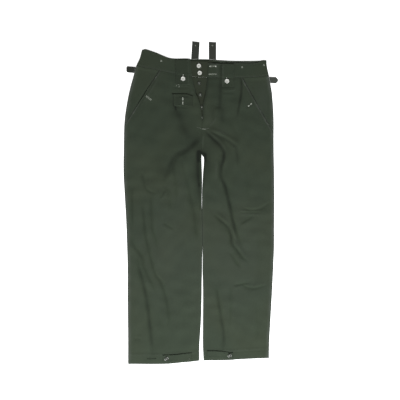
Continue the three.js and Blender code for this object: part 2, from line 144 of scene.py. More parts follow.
def twill(name, colour, rubbed):
    """Twill: diagonal ribs on the piece's own map, crossed by a finer weft, with slubs and
    mottling. The attribute `rub` leads from painted crease shade at 0 through the colour at 0.5
    to a pale colour at 1: wear along the seams, and painted highlight elsewhere."""
    cloth = Finish(name, Sheen_Weight=0.04, Sheen_Roughness=0.6, Specular_IOR_Level=0.14)
    place = cloth.node("ShaderNodeUVMap", {"uv_map": "cloth"})
    across, along = cloth.across_and_along(place)
    turn = 2 * np.pi / (RIB * METRE)
    ribs = ((across * RIB_LEAN[0] + along * RIB_LEAN[1]) * turn).sine()
    weft = (along * (turn * WEFT_TO_RIB)).sine()
    slubs = cloth.noise(place, 900.0, 3.0)
    mottle = cloth.noise(place, 22.0, 3.0)
    patches = cloth.noise(place, 5.0, 2.0)
    rub = cloth.node("ShaderNodeAttribute", {"attribute_name": "rub"}, None, output="Fac")
    blotches = mottle.between(0.3, 0.7) * 0.5 + patches.between(0.35, 0.65) * 0.3
    shade = blotches + slubs * 0.35 + ribs * 0.06 - 0.1
    deep = [channel * DEEPER for channel in colour]
    light = [channel * LIGHTER for channel in colour]
    body = cloth.tint(shade, (*deep, 1), (*light, 1))
    warm = (*[channel * drift for channel, drift in zip(colour, WARMER)], 1)
    body = cloth.tint(patches.between(0.42, 0.62) * 0.5, body, warm)
    # Painted shade: below the plain tone the colour darkens towards a shade colour, DEEPEST darker.
    shade_colour = (*[channel * (1 - DEEPEST) for channel in colour], 1)
    painted_shade = cloth.tint(rub.between(PLAIN_TONE, 0.0), body, shade_colour)
    worn_and_lit = cloth.tint(rub.between(PLAIN_TONE, 1.0), painted_shade, (*rubbed, 1))
    cloth.join(cloth.shader.inputs["Base Color"], worn_and_lit)
    cloth.join(cloth.shader.inputs["Roughness"], slubs * 0.1 + 0.86)
    relief = ribs * 0.5 + weft * 0.22 + slubs * 1.1
    sockets = {"Strength": 0.5, "Distance": 0.0002, "Height": relief}
    cloth.join(cloth.shader.inputs["Normal"], cloth.node("ShaderNodeBump", None, sockets))
    return cloth.material


OLIVE = (0.0344, 0.0455, 0.0302)
# The pale colour of worn seams and of painted highlights.
PALE_WEAR_AND_LIGHT = (0.0600, 0.0680, 0.0560)
olive_twill = twill("olive_twill", OLIVE, PALE_WEAR_AND_LIGHT)


# ---------------------------------------------------------------- leg panels: the cut
# Each leg is a front and a back panel, sewn along the side seam and the inseam. The front is
# cut away along the slash pocket. The outline is drawn as the garment lies, in millimetres.

SEAM = 0.3  # the room between two pieces
CLOTH = 1.5  # a single cloth's thickness
BAND = 2.0  # a doubled one's
ROLL = 3.3  # the radius in which a panel's edge turns down to its seam
RIM = ROLL + SEAM  # where an edge's turn ends, above the back's own
LEG_TOP = 4.9  # heights of the front's face above the floor: on the legs,
HIP_TOP = 6.8  # over the hips,
SEAM_TOP = RIM + ROLL  # along the seams,
FACING_TOP = 4.8  # of the pocket facing,
LOWEST = 3.6  # and in the deepest groove
UNDERLAP = 12.0  # how far a facing or catch runs in under its front
CROTCH_Y = 177.0  # where the inseams end and the crotch seam begins
KNEE_PRESS = 0.3  # how far each inseam is pressed past its cut at the knee


def ease(start, end, value):
    """A soft step: 0 at start, 1 at end, 3t^2 - 2t^3 between them."""
    t = np.clip((value - start) / (end - start), 0, 1)
    return t * t * (3 - 2 * t)


def bell(distance, width):
    """A soft bump: e to the power of minus (distance over width) squared."""
    return np.exp(-((distance / width) ** 2))


def mix(one, other, share):
    return one + (other - one) * share


def curve(rows):
    """A smooth line through rows of (place, value), level beyond its ends: on each span a
    cubic whose slope at a row is that of the chord between the row's neighbours."""
    places, values = np.array(rows, float).T
    before = np.maximum(np.arange(len(places)) - 1, 0)
    after = np.minimum(np.arange(len(places)) + 1, len(places) - 1)
    slopes = (values[after] - values[before]) / (places[after] - places[before])

    def at(place):
        place = np.clip(place, places[0], places[-1])
        i = np.clip(np.searchsorted(places, place) - 1, 0, len(places) - 2)
        span = places[i + 1] - places[i]
        t = (place - places[i]) / span
        start = (2 * t**3 - 3 * t**2 + 1) * values[i] + (t**3 - 2 * t**2 + t) * span * slopes[i]
        end = (3 * t**2 - 2 * t**3) * values[i + 1] + (t**3 - t**2) * span * slopes[i + 1]
        return start + end

    return at


def straight(one, other):
    """The x at a height y on the straight line through two (x, y) places."""
    return lambda y: mix(one[0], other[0], (y - one[1]) / (other[1] - one[1]))


def level(value):
    """The same value at every place."""
    return lambda *place: value + 0 * place[0]


def shifted(line, by):
    """A line moved by a distance, along whichever axis it gives."""
    return lambda at: line(at) + by


# A row for each section: height, right side seam, right inseam or fly edge, and the left's.
SECTIONS = np.array([
    (-577, -265.2, -5.6, 9.8, 249.0),
    (-520, -265.2, -4.7, 7.5, 249.4),
    (-429, -265.8, 0.9, 7.7, 254.2),
    (-341, -266.7, 3.4, 8.1, 259.3),
    (-297, -266.6, 3.6, 7.5, 261.6),
    (-254, -266.6, 4.6, 6.3, 263.7),
    (-210, -267.4, 5.2, 6.6, 265.6),
    (-166, -268.7, 5.8, 6.4, 267.3),
    (-122, -270.2, 5.9, 6.3, 267.6),
    (-78, -271.8, 5.7, 6.1, 267.6),
    (-35, -274.0, 4.0, 4.4, 267.9),
    (9, -276.6, 3.4, 4.4, 268.3),
    (38, -278.2, 4.0, 4.6, 268.1),
    (62, -279.6, 4.9, 6.1, 267.9),
    (97, -281.5, 4.6, 7.5, 267.6),
    (148, -282.0, 3.1, 11.2, 266.8),
    (166, -281.6, 3.0, 9.8, 266.4),
    (172, -281.4, 3.2, 4.1, 266.3),
    (CROTCH_Y, -281.2, 3.2, 4.0, 266.2),
    (228, -280.4, 3.7, 4.3, 265.7),
    (279, -279.3, 4.1, 4.8, 266.0),
    (319, -275.8, 2.6, 6.2, 265.2),
    (352, -270.8, -1.5, 7.6, 263.4),
    (381, -265.7, -10.2, 13.4, 261.1),
    (396, -262.6, -17.5, 17.2, 259.9),
    (425, -255.6, -24.5, 20.8, 255.1),
    (458, -246.4, -31.0, 23.0, 249.2),
    (498, -235.6, -35.0, 25.6, 241.0),
    (527, -222.7, -38.0, 26.6, 239.6),
    (560, -213.8, -39.4, 27.0, 238.0),
])
right_side, right_inner, left_inner, left_side = (curve(SECTIONS[:, [0, i]]) for i in (1, 2, 3, 4))


def pressed(y):
    """How far each knee is pressed past its cut, so that the inseams touch there."""
    return KNEE_PRESS * ease(-14, -34, y) * ease(-205, -150, y)


centre_back = curve([(CROTCH_Y, 6.8), (458, 10.6), (530, 10.6)])
waist_seam = curve([
    (-247, 501.5), (-156, 483.2), (-98, 470.6), (-31, 459.6), (23, 456.4),
    (117, 455.2), (165, 456), (212, 458.6), (250, 462),
])


class Leg:
    """One leg's lines: its seams, hem, and its pocket mouth from the side seam to the waist.
    `into` is 1 where +X leads from the side seam into the leg, and -1 on the other leg."""

    def __init__(self, name, into, side, inner, hem, foot, head):
        self.name = name
        self.into = into
        self.side = side
        self.inner = inner
        self.hem = curve(hem)
        self.foot = foot
        self.head = head
        self.mouth = straight(foot, head)


def right_inseam(y):
    return right_inner(y) + pressed(y)


def left_inseam(y):
    return left_inner(y) - pressed(y)


RIGHT_HEM = [(-265, -589), (-127, -589), (-61, -583), (-35, -580.8), (-7, -577)]
LEFT_HEM = [(10, -576.4), (75, -575.8), (106, -574.8), (136, -572.4), (220, -568.4), (249, -567)]
right = Leg("right", 1, right_side, right_inseam, RIGHT_HEM, foot=(-278.9, 279), head=(-150, 481))
left = Leg("left", -1, left_side, left_inseam, LEFT_HEM, foot=(265.7, 250), head=(150.5, 455))


# ---------------------------------------------------------------- leg panels: folds
# Stored folded and then laid out, the cloth keeps long soft folds that run down from the
# crotch, short creases behind the knees, and a pleat at the left front's waist.

# Each fold is (groove depth, groove width, ridge height, ridge spread, ridge side, shade, line).
# The ridge stands on the +X side of a line drawn downwards if the side is 1, and on both if 0.
# The shade is how much darker painted shade makes the groove's bottom.
FOLDS = [
    (2.4, 2.6, 1.8, 8, 1, 0.5, [(147, 500), (147.5, 457), (148, 422), (145.5, 388), (139, 354), (134, 319),
        (132, 298)]),
    (1.6, 9.0, 1.4, 26, -1, 0.3, [(-102, 383), (-88, 343), (-76, 313), (-66, 283), (-50, 253), (-36, 223)]),
    (3.4, 7.0, 1.2, 22, 1, 0.36, [(6, 254), (-17, 227), (-39, 206), (-64, 188), (-90, 173), (-106, 148),
        (-119, 118), (-129, 98), (-137, 88), (-164, 80)]),
    (2.8, 3.8, 1.6, 14, 1, 0.34, [(-217, 42), (-217, 28), (-214, -9), (-206, -90), (-194, -159), (-169, -256),
        (-145, -293), (-125, -365), (-118, -412), (-119, -438), (-136, -492)]),
    (2.2, 4.4, 1.2, 14, 1, 0.26, [(-185, 42), (-183, 3), (-179, -90), (-161, -145), (-158, -186)]),
    (2.2, 4.4, 1.2, 14, -1, 0.26, [(-254, -112), (-252, -128), (-243, -156), (-215, -196), (-207, -234),
        (-174, -303), (-162, -329), (-156, -346)]),
    (3.2, 4.4, 1.8, 14, -1, 0.46, [(-234, -182), (-232, -202), (-226, -236), (-205, -317), (-192, -392),
        (-186, -449), (-180, -502), (-175, -580)]),
    (2.0, 5.0, 1.6, 8, 1, 0.28, [(-45, 72), (-44, 53), (-38, 19), (-25.5, -37), (-22, -79), (-18, -99),
        (-12, -152)]),
    (3.8, 3.8, 3.0, 8, 1, 0.6, [(7, 268), (17, 260), (48, 230), (68, 212), (83, 188), (82, 161), (75, 134),
        (74, 105), (76, 88)]),
    (1.6, 4.0, 2.2, 9, 1, 0.28, [(22, 260), (38, 256), (82, 236), (110, 219), (125, 206), (132, 190)]),
    (1.2, 3.6, 1.4, 8, -1, 0.22, [(120, 220), (128, 206), (132, 182), (135, 154), (136, 126)]),
    (3.8, 3.6, 2.6, 10, -1, 0.6, [(68, 126), (72, 113), (79, 86), (89, 60), (97, 31), (103, 3), (110, -26),
        (115, -55), (123, -83), (131, -111), (143, -139), (154, -167)]),
    (3.6, 3.8, 3.0, 10, 1, 0.6, [(42, -36), (52, -46), (74, -68), (97, -90), (109, -118), (113, -147),
        (132, -174), (150, -198), (162, -208), (180, -224)]),
    (1.2, 4.4, 0.8, 12, -1, 0.2, [(108, -178), (115, -192), (135, -223), (146, -242)]),
    (2.4, 4.0, 1.4, 14, 1, 0.4, [(54, -292), (60, -332), (66, -370), (70, -394), (74, -424), (80, -454),
        (83, -484), (83, -514), (82, -562)]),
]
# Shorter creases, in the same form.
CREASES = [
    (1.8, 3.4, 0.8, 10, 1, 0.24, [(-216, 116), (-214, 98), (-209, 80), (-200, 52), (-186, 40), (-172, 36),
        (-156, 35)]),
    (1.4, 2.6, 0.6, 7, 1, 0.16, [(-132, 48), (-138, 34), (-145, 22), (-150, 12)]),
    (1.2, 5.0, 1.6, 12, 1, 0.14, [(-74, 168), (-66, 130), (-48, 68), (-41, 34)]),
    (1.3, 3.2, 0.8, 10, -1, 0.14, [(-138, -72), (-130, -78), (-106, -92), (-94, -100)]),
    (0.6, 8.0, 0.6, 22, -1, 0.05, [(-260, 260), (-213, 248), (-168, 234), (-138, 220)]),
    (0.8, 3.0, 0.6, 8, 1, 0.12, [(-244, -496), (-230, -498), (-214, -497)]),
    (1.4, 3.0, 0.8, 8, 0, 0.24, [(-252, 64), (-252, 18), (-251, -32), (-250, -98)]),
    (0.8, 2.6, 0.8, 5, 0, 0.1, [(138, -36.5), (152, -37), (208, -37), (228, -36)]),
    (1.8, 3.4, 1.0, 9, 1, 0.24, [(148, -20), (178, -28), (207, -26), (230, -17), (250, -4), (266, 0)]),
    (1.2, 3.0, 0.8, 10, 1, 0.16, [(194, -46), (180, -54), (165, -64), (148, -76), (138, -84)]),
    (1.4, 2.8, 0.8, 9, -1, 0.16, [(114, -303), (137, -299), (160, -295), (184, -293)]),
    (1.8, 3.2, 1.0, 9, 1, 0.18, [(148, -295), (164, -307.5), (192, -313.5), (220, -307.5), (248, -301)]),
    (0.6, 3.2, 0.6, 12, 1, 0.1, [(109, -288), (109, -342), (109, -398), (106, -466)]),
    (0.8, 7.0, 1.2, 20, 1, 0.1, [(100, 302), (120, 273), (132, 243), (134, 210)]),
    (1.2, 4.5, 0.8, 12, -1, 0.22, [(78, 518), (77, 502), (75, 474), (72, 446), (72, 417), (70, 389),
        (69, 360), (66, 333), (59, 308)]),
    (1.0, 6.0, 1.0, 16, -1, 0.22, [(82, 352), (80, 318), (78, 284)]),
    (1.2, 4.0, 0.8, 12, 1, 0.16, [(44, 348), (44, 318), (42, 292)]),
    (0.8, 5.0, 1.2, 7, -1, 0.16, [(67, 166), (70, 128), (68, 98), (64, 76)]),
    (1.2, 5.0, 1.4, 10, 1, 0.2, [(-106, 154), (-97, 108), (-91, 58), (-89, 2)]),
    (1.0, 5.0, 1.4, 9, -1, 0.12, [(-118, 64), (-113, 18), (-111, -38)]),
    (0.6, 6.0, 0.8, 22, -1, 0.04, [(-58, -252), (-56, -322), (-60, -402), (-58, -472)]),
    (0.6, 7.0, 0.8, 24, 1, 0.04, [(207, -92), (217, -182), (214, -242), (207, -292)]),
    (0.7, 7.0, 1.0, 26, 1, 0.05, [(152, 148), (167, 98), (172, 38), (174, -2)]),
    (0.7, 7.0, 1.0, 24, 1, 0.05, [(-168, -382), (-148, -432), (-138, -492), (-133, -532)]),
    (0.6, 4.0, 0.6, 12, 1, 0.05, [(202, -362), (208, -422), (205, -482), (198, -522)]),
    (0.8, 3.0, 0.5, 6, 0, 0.12, [(76, 400.5), (102, 400), (128, 401)]),
    (0.8, 3.0, 0.4, 9, 0, 0.12, [(-108, 421), (-68, 419), (-34, 420)]),
]


def bent(line, steps=4):
    """The line with its corners rounded: a Catmull-Rom curve through its points."""
    line = np.array(line, float)
    ends = np.concatenate([[2 * line[0] - line[1]], line, [2 * line[-1] - line[-2]]])
    t = (np.arange(steps) / steps)[None, :, None]
    a, b, c, d = (ends[i: len(ends) - 3 + i, None] for i in range(4))
    path = 2 * b + (c - a) * t + (2 * a - 5 * b + 4 * c - d) * t**2 + (3 * b - a - 3 * c + d) * t**3
    return np.concatenate([path.reshape(-1, 2) / 2, line[-1:]])


def place_by(line, x, y):
    """How places lie by a line of straight spans: the distance to its +X side as it runs down,
    and the share of its length travelled to the nearest point of it."""
    line = bent(line)
    lengths = np.hypot(*np.diff(line, axis=0).T)
    nearest, aside, way, travelled = np.full(np.shape(x), np.inf), 0 * x, 0 * x, 0.0
    for (x0, y0), (x1, y1), length in zip(line[:-1], line[1:], lengths):
        dx, dy = x1 - x0, y1 - y0
        share = np.clip(((x - x0) * dx + (y - y0) * dy) / length**2, 0, 1)
        distance = np.hypot(x - x0 - dx * share, y - y0 - dy * share)
        closer = distance < nearest
        side = np.sign(dx * (y - y0) - dy * (x - x0))
        nearest = np.where(closer, distance, nearest)
        aside = np.where(closer, distance * side, aside)
        way = np.where(closer, travelled + share * length, way)
        travelled += length
    return aside, way / travelled


FADE_IN, FADE_OUT = 0.2, 0.3  # the shares of a fold's length over which it comes and goes
RIDGE_AWAY, RIDGE_STEEP = 2.4, 1.4  # a ridge's distance and its steep side, in groove widths


def fold_height(fold, x, y):
    """A groove, one over the hyperbolic cosine across its line, and a ridge beside it that
    rises steeply from the groove and falls away slowly. Both fade out at the line's ends.
    Also gives the groove's painted shade, which has the groove's own form."""
    groove, wide, rise, spread, side, shade, line = fold
    aside, share = place_by(line, x, y)
    fade = ease(0, FADE_IN, share) * ease(0, FADE_OUT, 1 - share)
    uneven = 0.88 + 0.12 * np.sin(0.11 * y + 0.05 * x + groove)
    from_groove = (aside * side if side else np.abs(aside)) - RIDGE_AWAY * wide
    ridge = bell(from_groove, np.where(from_groove < 0, RIDGE_STEEP * wide, spread))
    hollow = fade * uneven / np.cosh(np.clip(aside / wide, -9, 9))
    return fade * rise * ridge - groove * hollow, shade * hollow


# Slow swells of the cloth, each a sine wave: (radians a millimetre along x, along y, start, size).
SWELLS = [
    (0.061, 0.023, 0.4, 0.42), (-0.043, 0.071, 1.9, 0.42),
    (0.093, -0.057, 3.1, 0.28), (0.031, 0.121, 5.0, 0.28),
]


def unevenness(x, y):
    """Swells of about a millimetre: the crossed sine waves, all bent by two slower ones."""
    bend = 2.1 * np.sin(0.013 * x - 0.009 * y) + 1.7 * np.sin(0.006 * x + 0.017 * y)
    return 0.5 + sum(size * np.sin(a * x + b * y + start + bend) for a, b, start, size in SWELLS)


# Each pocket mouth: how far it gapes, and the heights where it starts to, is open, starts to
# close, and is shut.
MOUTHS = {"right": (1.0, 325, 375, 425, 462), "left": (0.3, 350, 400, 420, 442)}


def gaping(leg, y):
    """How far a pocket mouth stands open: the right one gapes in its middle, and the left one
    is pressed shut but for a little at its top."""
    share, foot, opened, closing, head = MOUTHS[leg.name]
    return share * ease(foot, opened, y) * ease(head, closing, y)


SEAM_RIDGE = 14.0  # how wide the ridge is along a seam of a front
EDGE_RIDGE = 8.0  # and where only the pocket facing is left between the seam and the mouth


def facing_face(leg, x, y):
    """A facing's height: a ridge on the side seam, easing to where the front covers it, a
    hollow along the open stretch of the pocket mouth, and a rise to the waistband."""
    outside = leg.into * (leg.mouth(y) - x)
    seam = (SEAM_TOP - FACING_TOP) * bell(x - leg.side(y), EDGE_RIDGE)
    hollow = 1.2 * gaping(leg, y) * bell(outside - 4, 4)
    rise = 1.9 * ease(16, 1, waist_seam(x) - y) * ease(1, 8, outside)
    return FACING_TOP + seam + rise - hollow


HEM_DEPTH = 33.0  # how far the hem's cloth is turned up


def hem_height(leg, x, y):
    """The turned-up hem is doubled cloth: a small step above its stitching, and puckers there."""
    above = y - leg.hem(x) - HEM_DEPTH
    pucker = 0.2 * np.sin(x * 0.55 + 2 * np.sin(x * 0.031)) * bell(above, 6)
    return 0.5 * ease(1.2, -1.2, above) + pucker + 0.7 * bell(above - 2, 4) - 0.4 * bell(above, 1.4)


def fold_sums(x, y):
    """The height of all the folds and creases at places, and their painted shade there."""
    heights, shades = zip(*(fold_height(fold, x, y) for fold in FOLDS + CREASES))
    return sum(heights), sum(shades)


HIP_RISE = (CROTCH_Y - 90, CROTCH_Y + 40)  # between these heights the legs rise to the hips


def front_face(leg, x, y):
    """A front's height above the floor: flat cloth, ridges along the seams, the rise over the
    fly's buttons and the pocket facing, folds and creases, and the dip under the waist seam.
    An exponential floor keeps the valleys off the back."""
    from_side, from_inner = np.abs(x - leg.side(y)), np.abs(x - leg.inner(y))
    hip = ease(*HIP_RISE, y)
    flat = mix(LEG_TOP, HIP_TOP, hip)
    seams = (SEAM_TOP - flat) * (bell(from_side, SEAM_RIDGE) + bell(from_inner, SEAM_RIDGE) * (1 - hip))
    thigh = 1.4 * bell(from_inner - 46, 26) * bell(y - 140, 60)
    fly = 1.6 * bell(from_inner, 26) * ease(255, 300, y) * ease(460, 400, y)
    under_band = 0.8 * bell(y - waist_seam(x) + 2, 3.5)
    folds = (fold_sums(x, y)[0] + unevenness(x, y)) * ease(0, 16, from_side) * ease(-2, 14, from_inner)
    face = flat + seams + thigh + fly - under_band + folds + hem_height(leg, x, y)
    raised = np.where(face < LOWEST + 1, LOWEST + np.exp(np.minimum(face - LOWEST - 1, 0)), face)
    over = leg.foot[1] - 6
    lap = ease(UNDERLAP + 26, UNDERLAP + 3, np.abs(x - leg.mouth(y))) * ease(over, over + 5, y)
    lip = gaping(leg, y) * (SEAM + 0.5 * bell(x - leg.mouth(y), 4))
    on_facing = FACING_TOP + CLOTH + SEAM + lip + (SEAM_TOP - FACING_TOP) * bell(from_side, EDGE_RIDGE)
    return np.maximum(raised, lap * on_facing)


# ---------------------------------------------------------------- leg panels: the cloth itself
# Fronts and backs are thin walls with a face and an inside. They roll round at the side seams
# and inseams to meet each other, and their raw and folded edges are rounded.


def place_in(patch, u, v):
    """Places at share u from the edge `from` to the edge `to`, which give x at a y, and at share
    v from `lower` to `upper`, which give y at an x. Repeated until both agree."""
    x, y = np.zeros(np.broadcast(u, v).shape), np.zeros(np.broadcast(u, v).shape)
    for _ in range(12):
        y = mix(patch["lower"](x), patch["upper"](x), v)
        x = mix(patch["from"](y), patch["to"](y), u)
    return x, y


EDGE_ROUND = 0.8  # millimetres over which a free edge is rounded


def edge_shares(count, size):
    """Even shares from 0 to 1, with three more near each end to round an edge of that size."""
    near = np.array([0.12, 0.45, 1.0]) * EDGE_ROUND / size
    even = np.linspace(0, 1, count + 1)[1:-1]
    even = even[(even > near[-1] * 1.3) & (even < 1 - near[-1] * 1.3)]
    return np.concatenate([[0], near, even, 1 - near[::-1], [1]])


def rounding(distance, wall):
    """How far each of a wall's faces draws in by a free edge: a quarter ellipse."""
    t = np.clip(1 - distance / EDGE_ROUND, 0, 1)
    return 0.42 * wall * (1 - np.sqrt(np.clip(1 - t * t, 0, 1)))


ROLL_STEPS = 7  # columns of points round a rolled edge


def columns(patch, wide, cell):
    """The columns of a patch's grid: their shares across it, their turns, and which of them lie
    on a rolled edge. A rolled edge's columns keep one share and turn by a quarter in all, and
    they take the place of the four that would round it."""
    quarter = np.radians(np.linspace(0, 90, ROLL_STEPS))
    lead = quarter if patch.get("turn_from") else quarter[:0]
    tail = quarter[::-1] if patch.get("turn_to") else quarter[:0]
    middle = edge_shares(max(3, round(wide / cell)), wide)
    middle = middle[4:] if lead.size else middle
    middle = middle[:-4] if tail.size else middle
    across = np.concatenate([0 * lead, middle, 0 * tail + 1])[None]
    turn = np.concatenate([lead, 0 * middle + np.pi / 2, tail])[None]
    place = np.arange(across.size)[None]
    return across, turn, place < lead.size, place >= across.size - tail.size


def wall_grids(patch, cell):
    """Grids of the wall's outer and inner points. A turned edge rolls round by that share of a
    quarter turn, from the face to `rim`: x = edge + r(1 - cos), z = rim + (top - rim) sin."""
    face, wall, rim = patch["face"], patch["wall"], patch.get("rim", 0.0)
    turn_from, turn_to = patch.get("turn_from"), patch.get("turn_to")
    start, end = (place_in(patch, np.full(1, side), np.full(1, 0.5))[0] for side in (0.0, 1.0))
    edges = [patch[edge](np.linspace(start, end, 9)).mean() for edge in ("lower", "upper")]
    high = float(np.ptp(edges))
    rows = edge_shares(max(3, round(high / cell)), high)[:, None]
    across, turn, at_start, at_end = columns(patch, float(abs(end - start)[0]), cell)
    (x0, y0), (x1, y1) = place_in(patch, 0 * rows, rows), place_in(patch, 0 * rows + 1, rows)
    into = np.sign(x1 - x0)
    inside0, inside1 = x0 + into * ROLL * bool(turn_from), x1 - into * ROLL * bool(turn_to)
    x = mix(inside0, inside1, across)
    x = np.where(at_start, x0 + into * ROLL * (1 - np.cos(turn)), x)
    x = np.where(at_end, x1 - into * ROLL * (1 - np.cos(turn)), x)
    y = mix(patch["lower"](x), patch["upper"](x), rows)
    free = [np.minimum(y - patch["lower"](x), patch["upper"](x) - y)]
    free += [] if turn_from else [np.abs(x - x0)]
    free += [] if turn_to else [np.abs(x - x1)]
    draw = rounding(np.minimum.reduce(free), abs(wall)) * np.sign(wall)
    outer_z, inner_z = face(x, y) - draw, face(x, y) - wall + draw
    outer_x, inner_x = x, x.copy()
    for rolled, edge, height, towards, turned in (
            (at_start, x0, y0, into, turn_from), (at_end, x1, y1, -into, turn_to)):
        if not turned:
            continue
        amount = turned(height)
        top = face(edge + towards * ROLL, height)
        reach = edge + towards * (ROLL - (ROLL - abs(wall)) * np.cos(turn))
        outer_z = np.where(rolled, mix(outer_z, rim + (top - rim) * np.sin(turn), amount), outer_z)
        inner_z = np.where(rolled, mix(inner_z, rim + (top - wall - rim) * np.sin(turn), amount), inner_z)
        inner_x = np.where(rolled, mix(inner_x, reach, amount), inner_x)
    return np.stack([outer_x, y, outer_z], -1), np.stack([inner_x, y, inner_z], -1)


def quads_of(outer):
    """Indices of the closed skin of a wall: its face, its inside, and the four rims."""
    high, wide = outer.shape[:2]
    index = np.arange(high * wide).reshape(high, wide)
    count = high * wide

    def sheet(grid):
        return np.stack([grid[:-1, :-1], grid[:-1, 1:], grid[1:, 1:], grid[1:, :-1]], -1).reshape(-1, 4)

    def rim(line):
        return np.stack([line[1:], line[:-1], line[:-1] + count, line[1:] + count], -1)

    ring = [index[0], index[1:, -1], index[-1, :-1][::-1], index[:-1, 0][::-1]]
    loop = np.concatenate(ring)
    loop = np.append(loop, loop[0])
    return np.concatenate([sheet(index), sheet(index)[:, ::-1] + count, rim(loop)])


def new_piece(name, points, quads, material, smooth_below=40, rub=None):
    """A mesh object in metres from points in millimetres and quads, riding on the garment."""
    corners = points[quads]
    outward = np.einsum("ij,ij->", corners[:, 0], np.cross(corners[:, 1], corners[:, 2]))
    outward += np.einsum("ij,ij->", corners[:, 0], np.cross(corners[:, 2], corners[:, 3]))
    quads = np.ascontiguousarray(quads if outward > 0 else quads[:, ::-1])
    mesh = bpy.data.meshes.new(name)
    mesh.vertices.add(len(points))
    mesh.vertices.foreach_set("co", (points * METRE).ravel())
    mesh.loops.add(quads.size)
    mesh.loops.foreach_set("vertex_index", quads.ravel())
    mesh.polygons.add(len(quads))
    mesh.polygons.foreach_set("loop_start", np.arange(0, quads.size, 4))
    mesh.update(calc_edges=True)
    flat = points[:, :2] * METRE
    mesh.uv_layers.new(name="cloth").data.foreach_set("uv", flat[quads.ravel()].ravel())
    rub = np.full(len(points), PLAIN_TONE) if rub is None else rub
    mesh.attributes.new("rub", "FLOAT", "POINT").data.foreach_set("value", rub)
    mesh.polygons.foreach_set("use_smooth", np.ones(len(quads), bool))
    mesh.set_sharp_from_angle(angle=np.radians(smooth_below))
    mesh.materials.append(material)
    piece = bpy.data.objects.new(name, mesh)
    bpy.context.collection.objects.link(piece)
    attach(piece, "root")
    return piece


def add_cloth(name, patch, cell, material=olive_twill, slot="cloth", rub=None):
    """A cut piece of cloth as a closed wall, in place of its node in the frame."""
    outer, inner = wall_grids(patch, cell)
    points = np.concatenate([outer.reshape(-1, 3), inner.reshape(-1, 3)])
    quads = quads_of(outer)
    rubbed = None if rub is None else rub(points[:, 0], points[:, 1])
    piece = new_piece(f"{name}_cloth", points, quads, material, rub=rubbed)
    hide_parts(name)
    return piece


# Broad patches of painted shade, and of painted light where the shade is negative, such as
# the dark crotch and hips and the lighter knees, each a soft oval:
# (x, y, reach along x, reach along y, shade).
PATCHES = [
    (-12, 110, 14, 62, 0.34), (22, 140, 16, 48, 0.34), (2, 190, 26, 22, 0.22), (-95, 300, 70, 34, 0.06),
    (-146, 120, 24, 30, 0.18), (52, 216, 26, 18, 0.16), (56, 124, 5, 36, -0.18), (48, 400, 22, 60, 0.1),
    (74, 255, 22, 12, -0.14), (-60, 60, 30, 60, -0.08), (-250, 200, 30, 90, -0.04), (-26, 238, 30, 20, 0.18),
    (-85, 165, 55, 36, 0.08), (-140, -190, 150, 230, -0.15), (135, -200, 140, 240, -0.17),
    (34, 306, 20, 26, -0.1), (228, 380, 24, 60, -0.17), (72, 395, 8, 60, 0.14), (102, 428, 26, 14, 0.12),
    (-9, 66, 8, 60, 0.14), (-60, 225, 60, 34, 0.08), (95, 95, 22, 60, 0.06), (-100, 60, 20, 60, -0.06),
]
# Thin lines of painted shadow, and of painted highlight where the shade is negative: (width, shade, line).
MARKS = [
    (7.0, 0.8, [(-8, 154), (-9, 168), (-8, 182)]), (5.5, 0.48, [(-6, 184), (4, 181), (15, 176)]),
    (4.5, 0.5, [(16, 174), (17, 152)]), (6.0, 0.24, [(-11, 142), (-9, 96), (-6, 62)]),
    (4.5, 0.24, [(-5, 66), (-3, 20), (-2, -24)]),
    (4.0, 0.2, [(15, 146), (13, 100), (11, 60)]), (3.2, -0.3, [(9, 238), (6, 200)]),
    (2.6, 0.16, [(-106, 396), (-44, 395)]), (2.6, -0.16, [(-101, 388), (-36, 387)]),
    (2.2, 0.24, [(-78, 383), (-44, 382)]), (3.0, -0.3, [(-33, 401), (-27, 401)]),
    (2.6, 0.36, [(-100, 377), (-99, 352)]), (3.4, 0.4, [(-94, 352), (-91, 338)]),
    (2.4, 0.26, [(-94, 346), (-51, 344)]), (3.0, 0.22, [(-168, 444), (-188, 410), (-212, 372), (-234, 340)]),
    (4.0, -0.14, [(-160, 444), (-180, 410), (-204, 372)]), (2.4, -0.16, [(78, 409), (126, 409)]),
    (2.4, 0.2, [(79, 418.5), (123, 418.5)]), (2.4, -0.2, [(54, 306), (48, 295), (36, 283)]),
    (2.0, -0.14, [(148, -32), (210, -32)]), (2.0, -0.14, [(148, -41.5), (210, -41.5)]),
    (3.4, 0.24, [(168, 344), (192, 360)]), (2.4, -0.14, [(-260, -557), (-148, -557), (-18, -548)]),
    (2.4, -0.14, [(16, -543), (122, -541), (246, -534)]), (2.2, 0.12, [(16, -549), (122, -547), (246, -541)]),
]


def patch_shade(x, y):
    """The painted shade and light of the patches, soft ovals, and of the marks, soft bands along their lines.
    """
    total = 0 * x
    for x0, y0, wide, high, shade in PATCHES:
        total = total + shade * bell(np.hypot((x - x0) / wide, (y - y0) / high), 1)
    for wide, shade, line in MARKS:
        total = total + shade * bell(place_by(line, x, y)[0], wide) * near_line(line, x, y, wide)
    return total


def near_line(line, x, y, wide):
    """1 beside a line and 0 well past its ends, from the box round it."""
    low, high = np.min(line, axis=0), np.max(line, axis=0)
    past = np.maximum.reduce([low[0] - x, x - high[0], low[1] - y, y - high[1], 0 * x])
    return ease(3 * wide, wide, past)


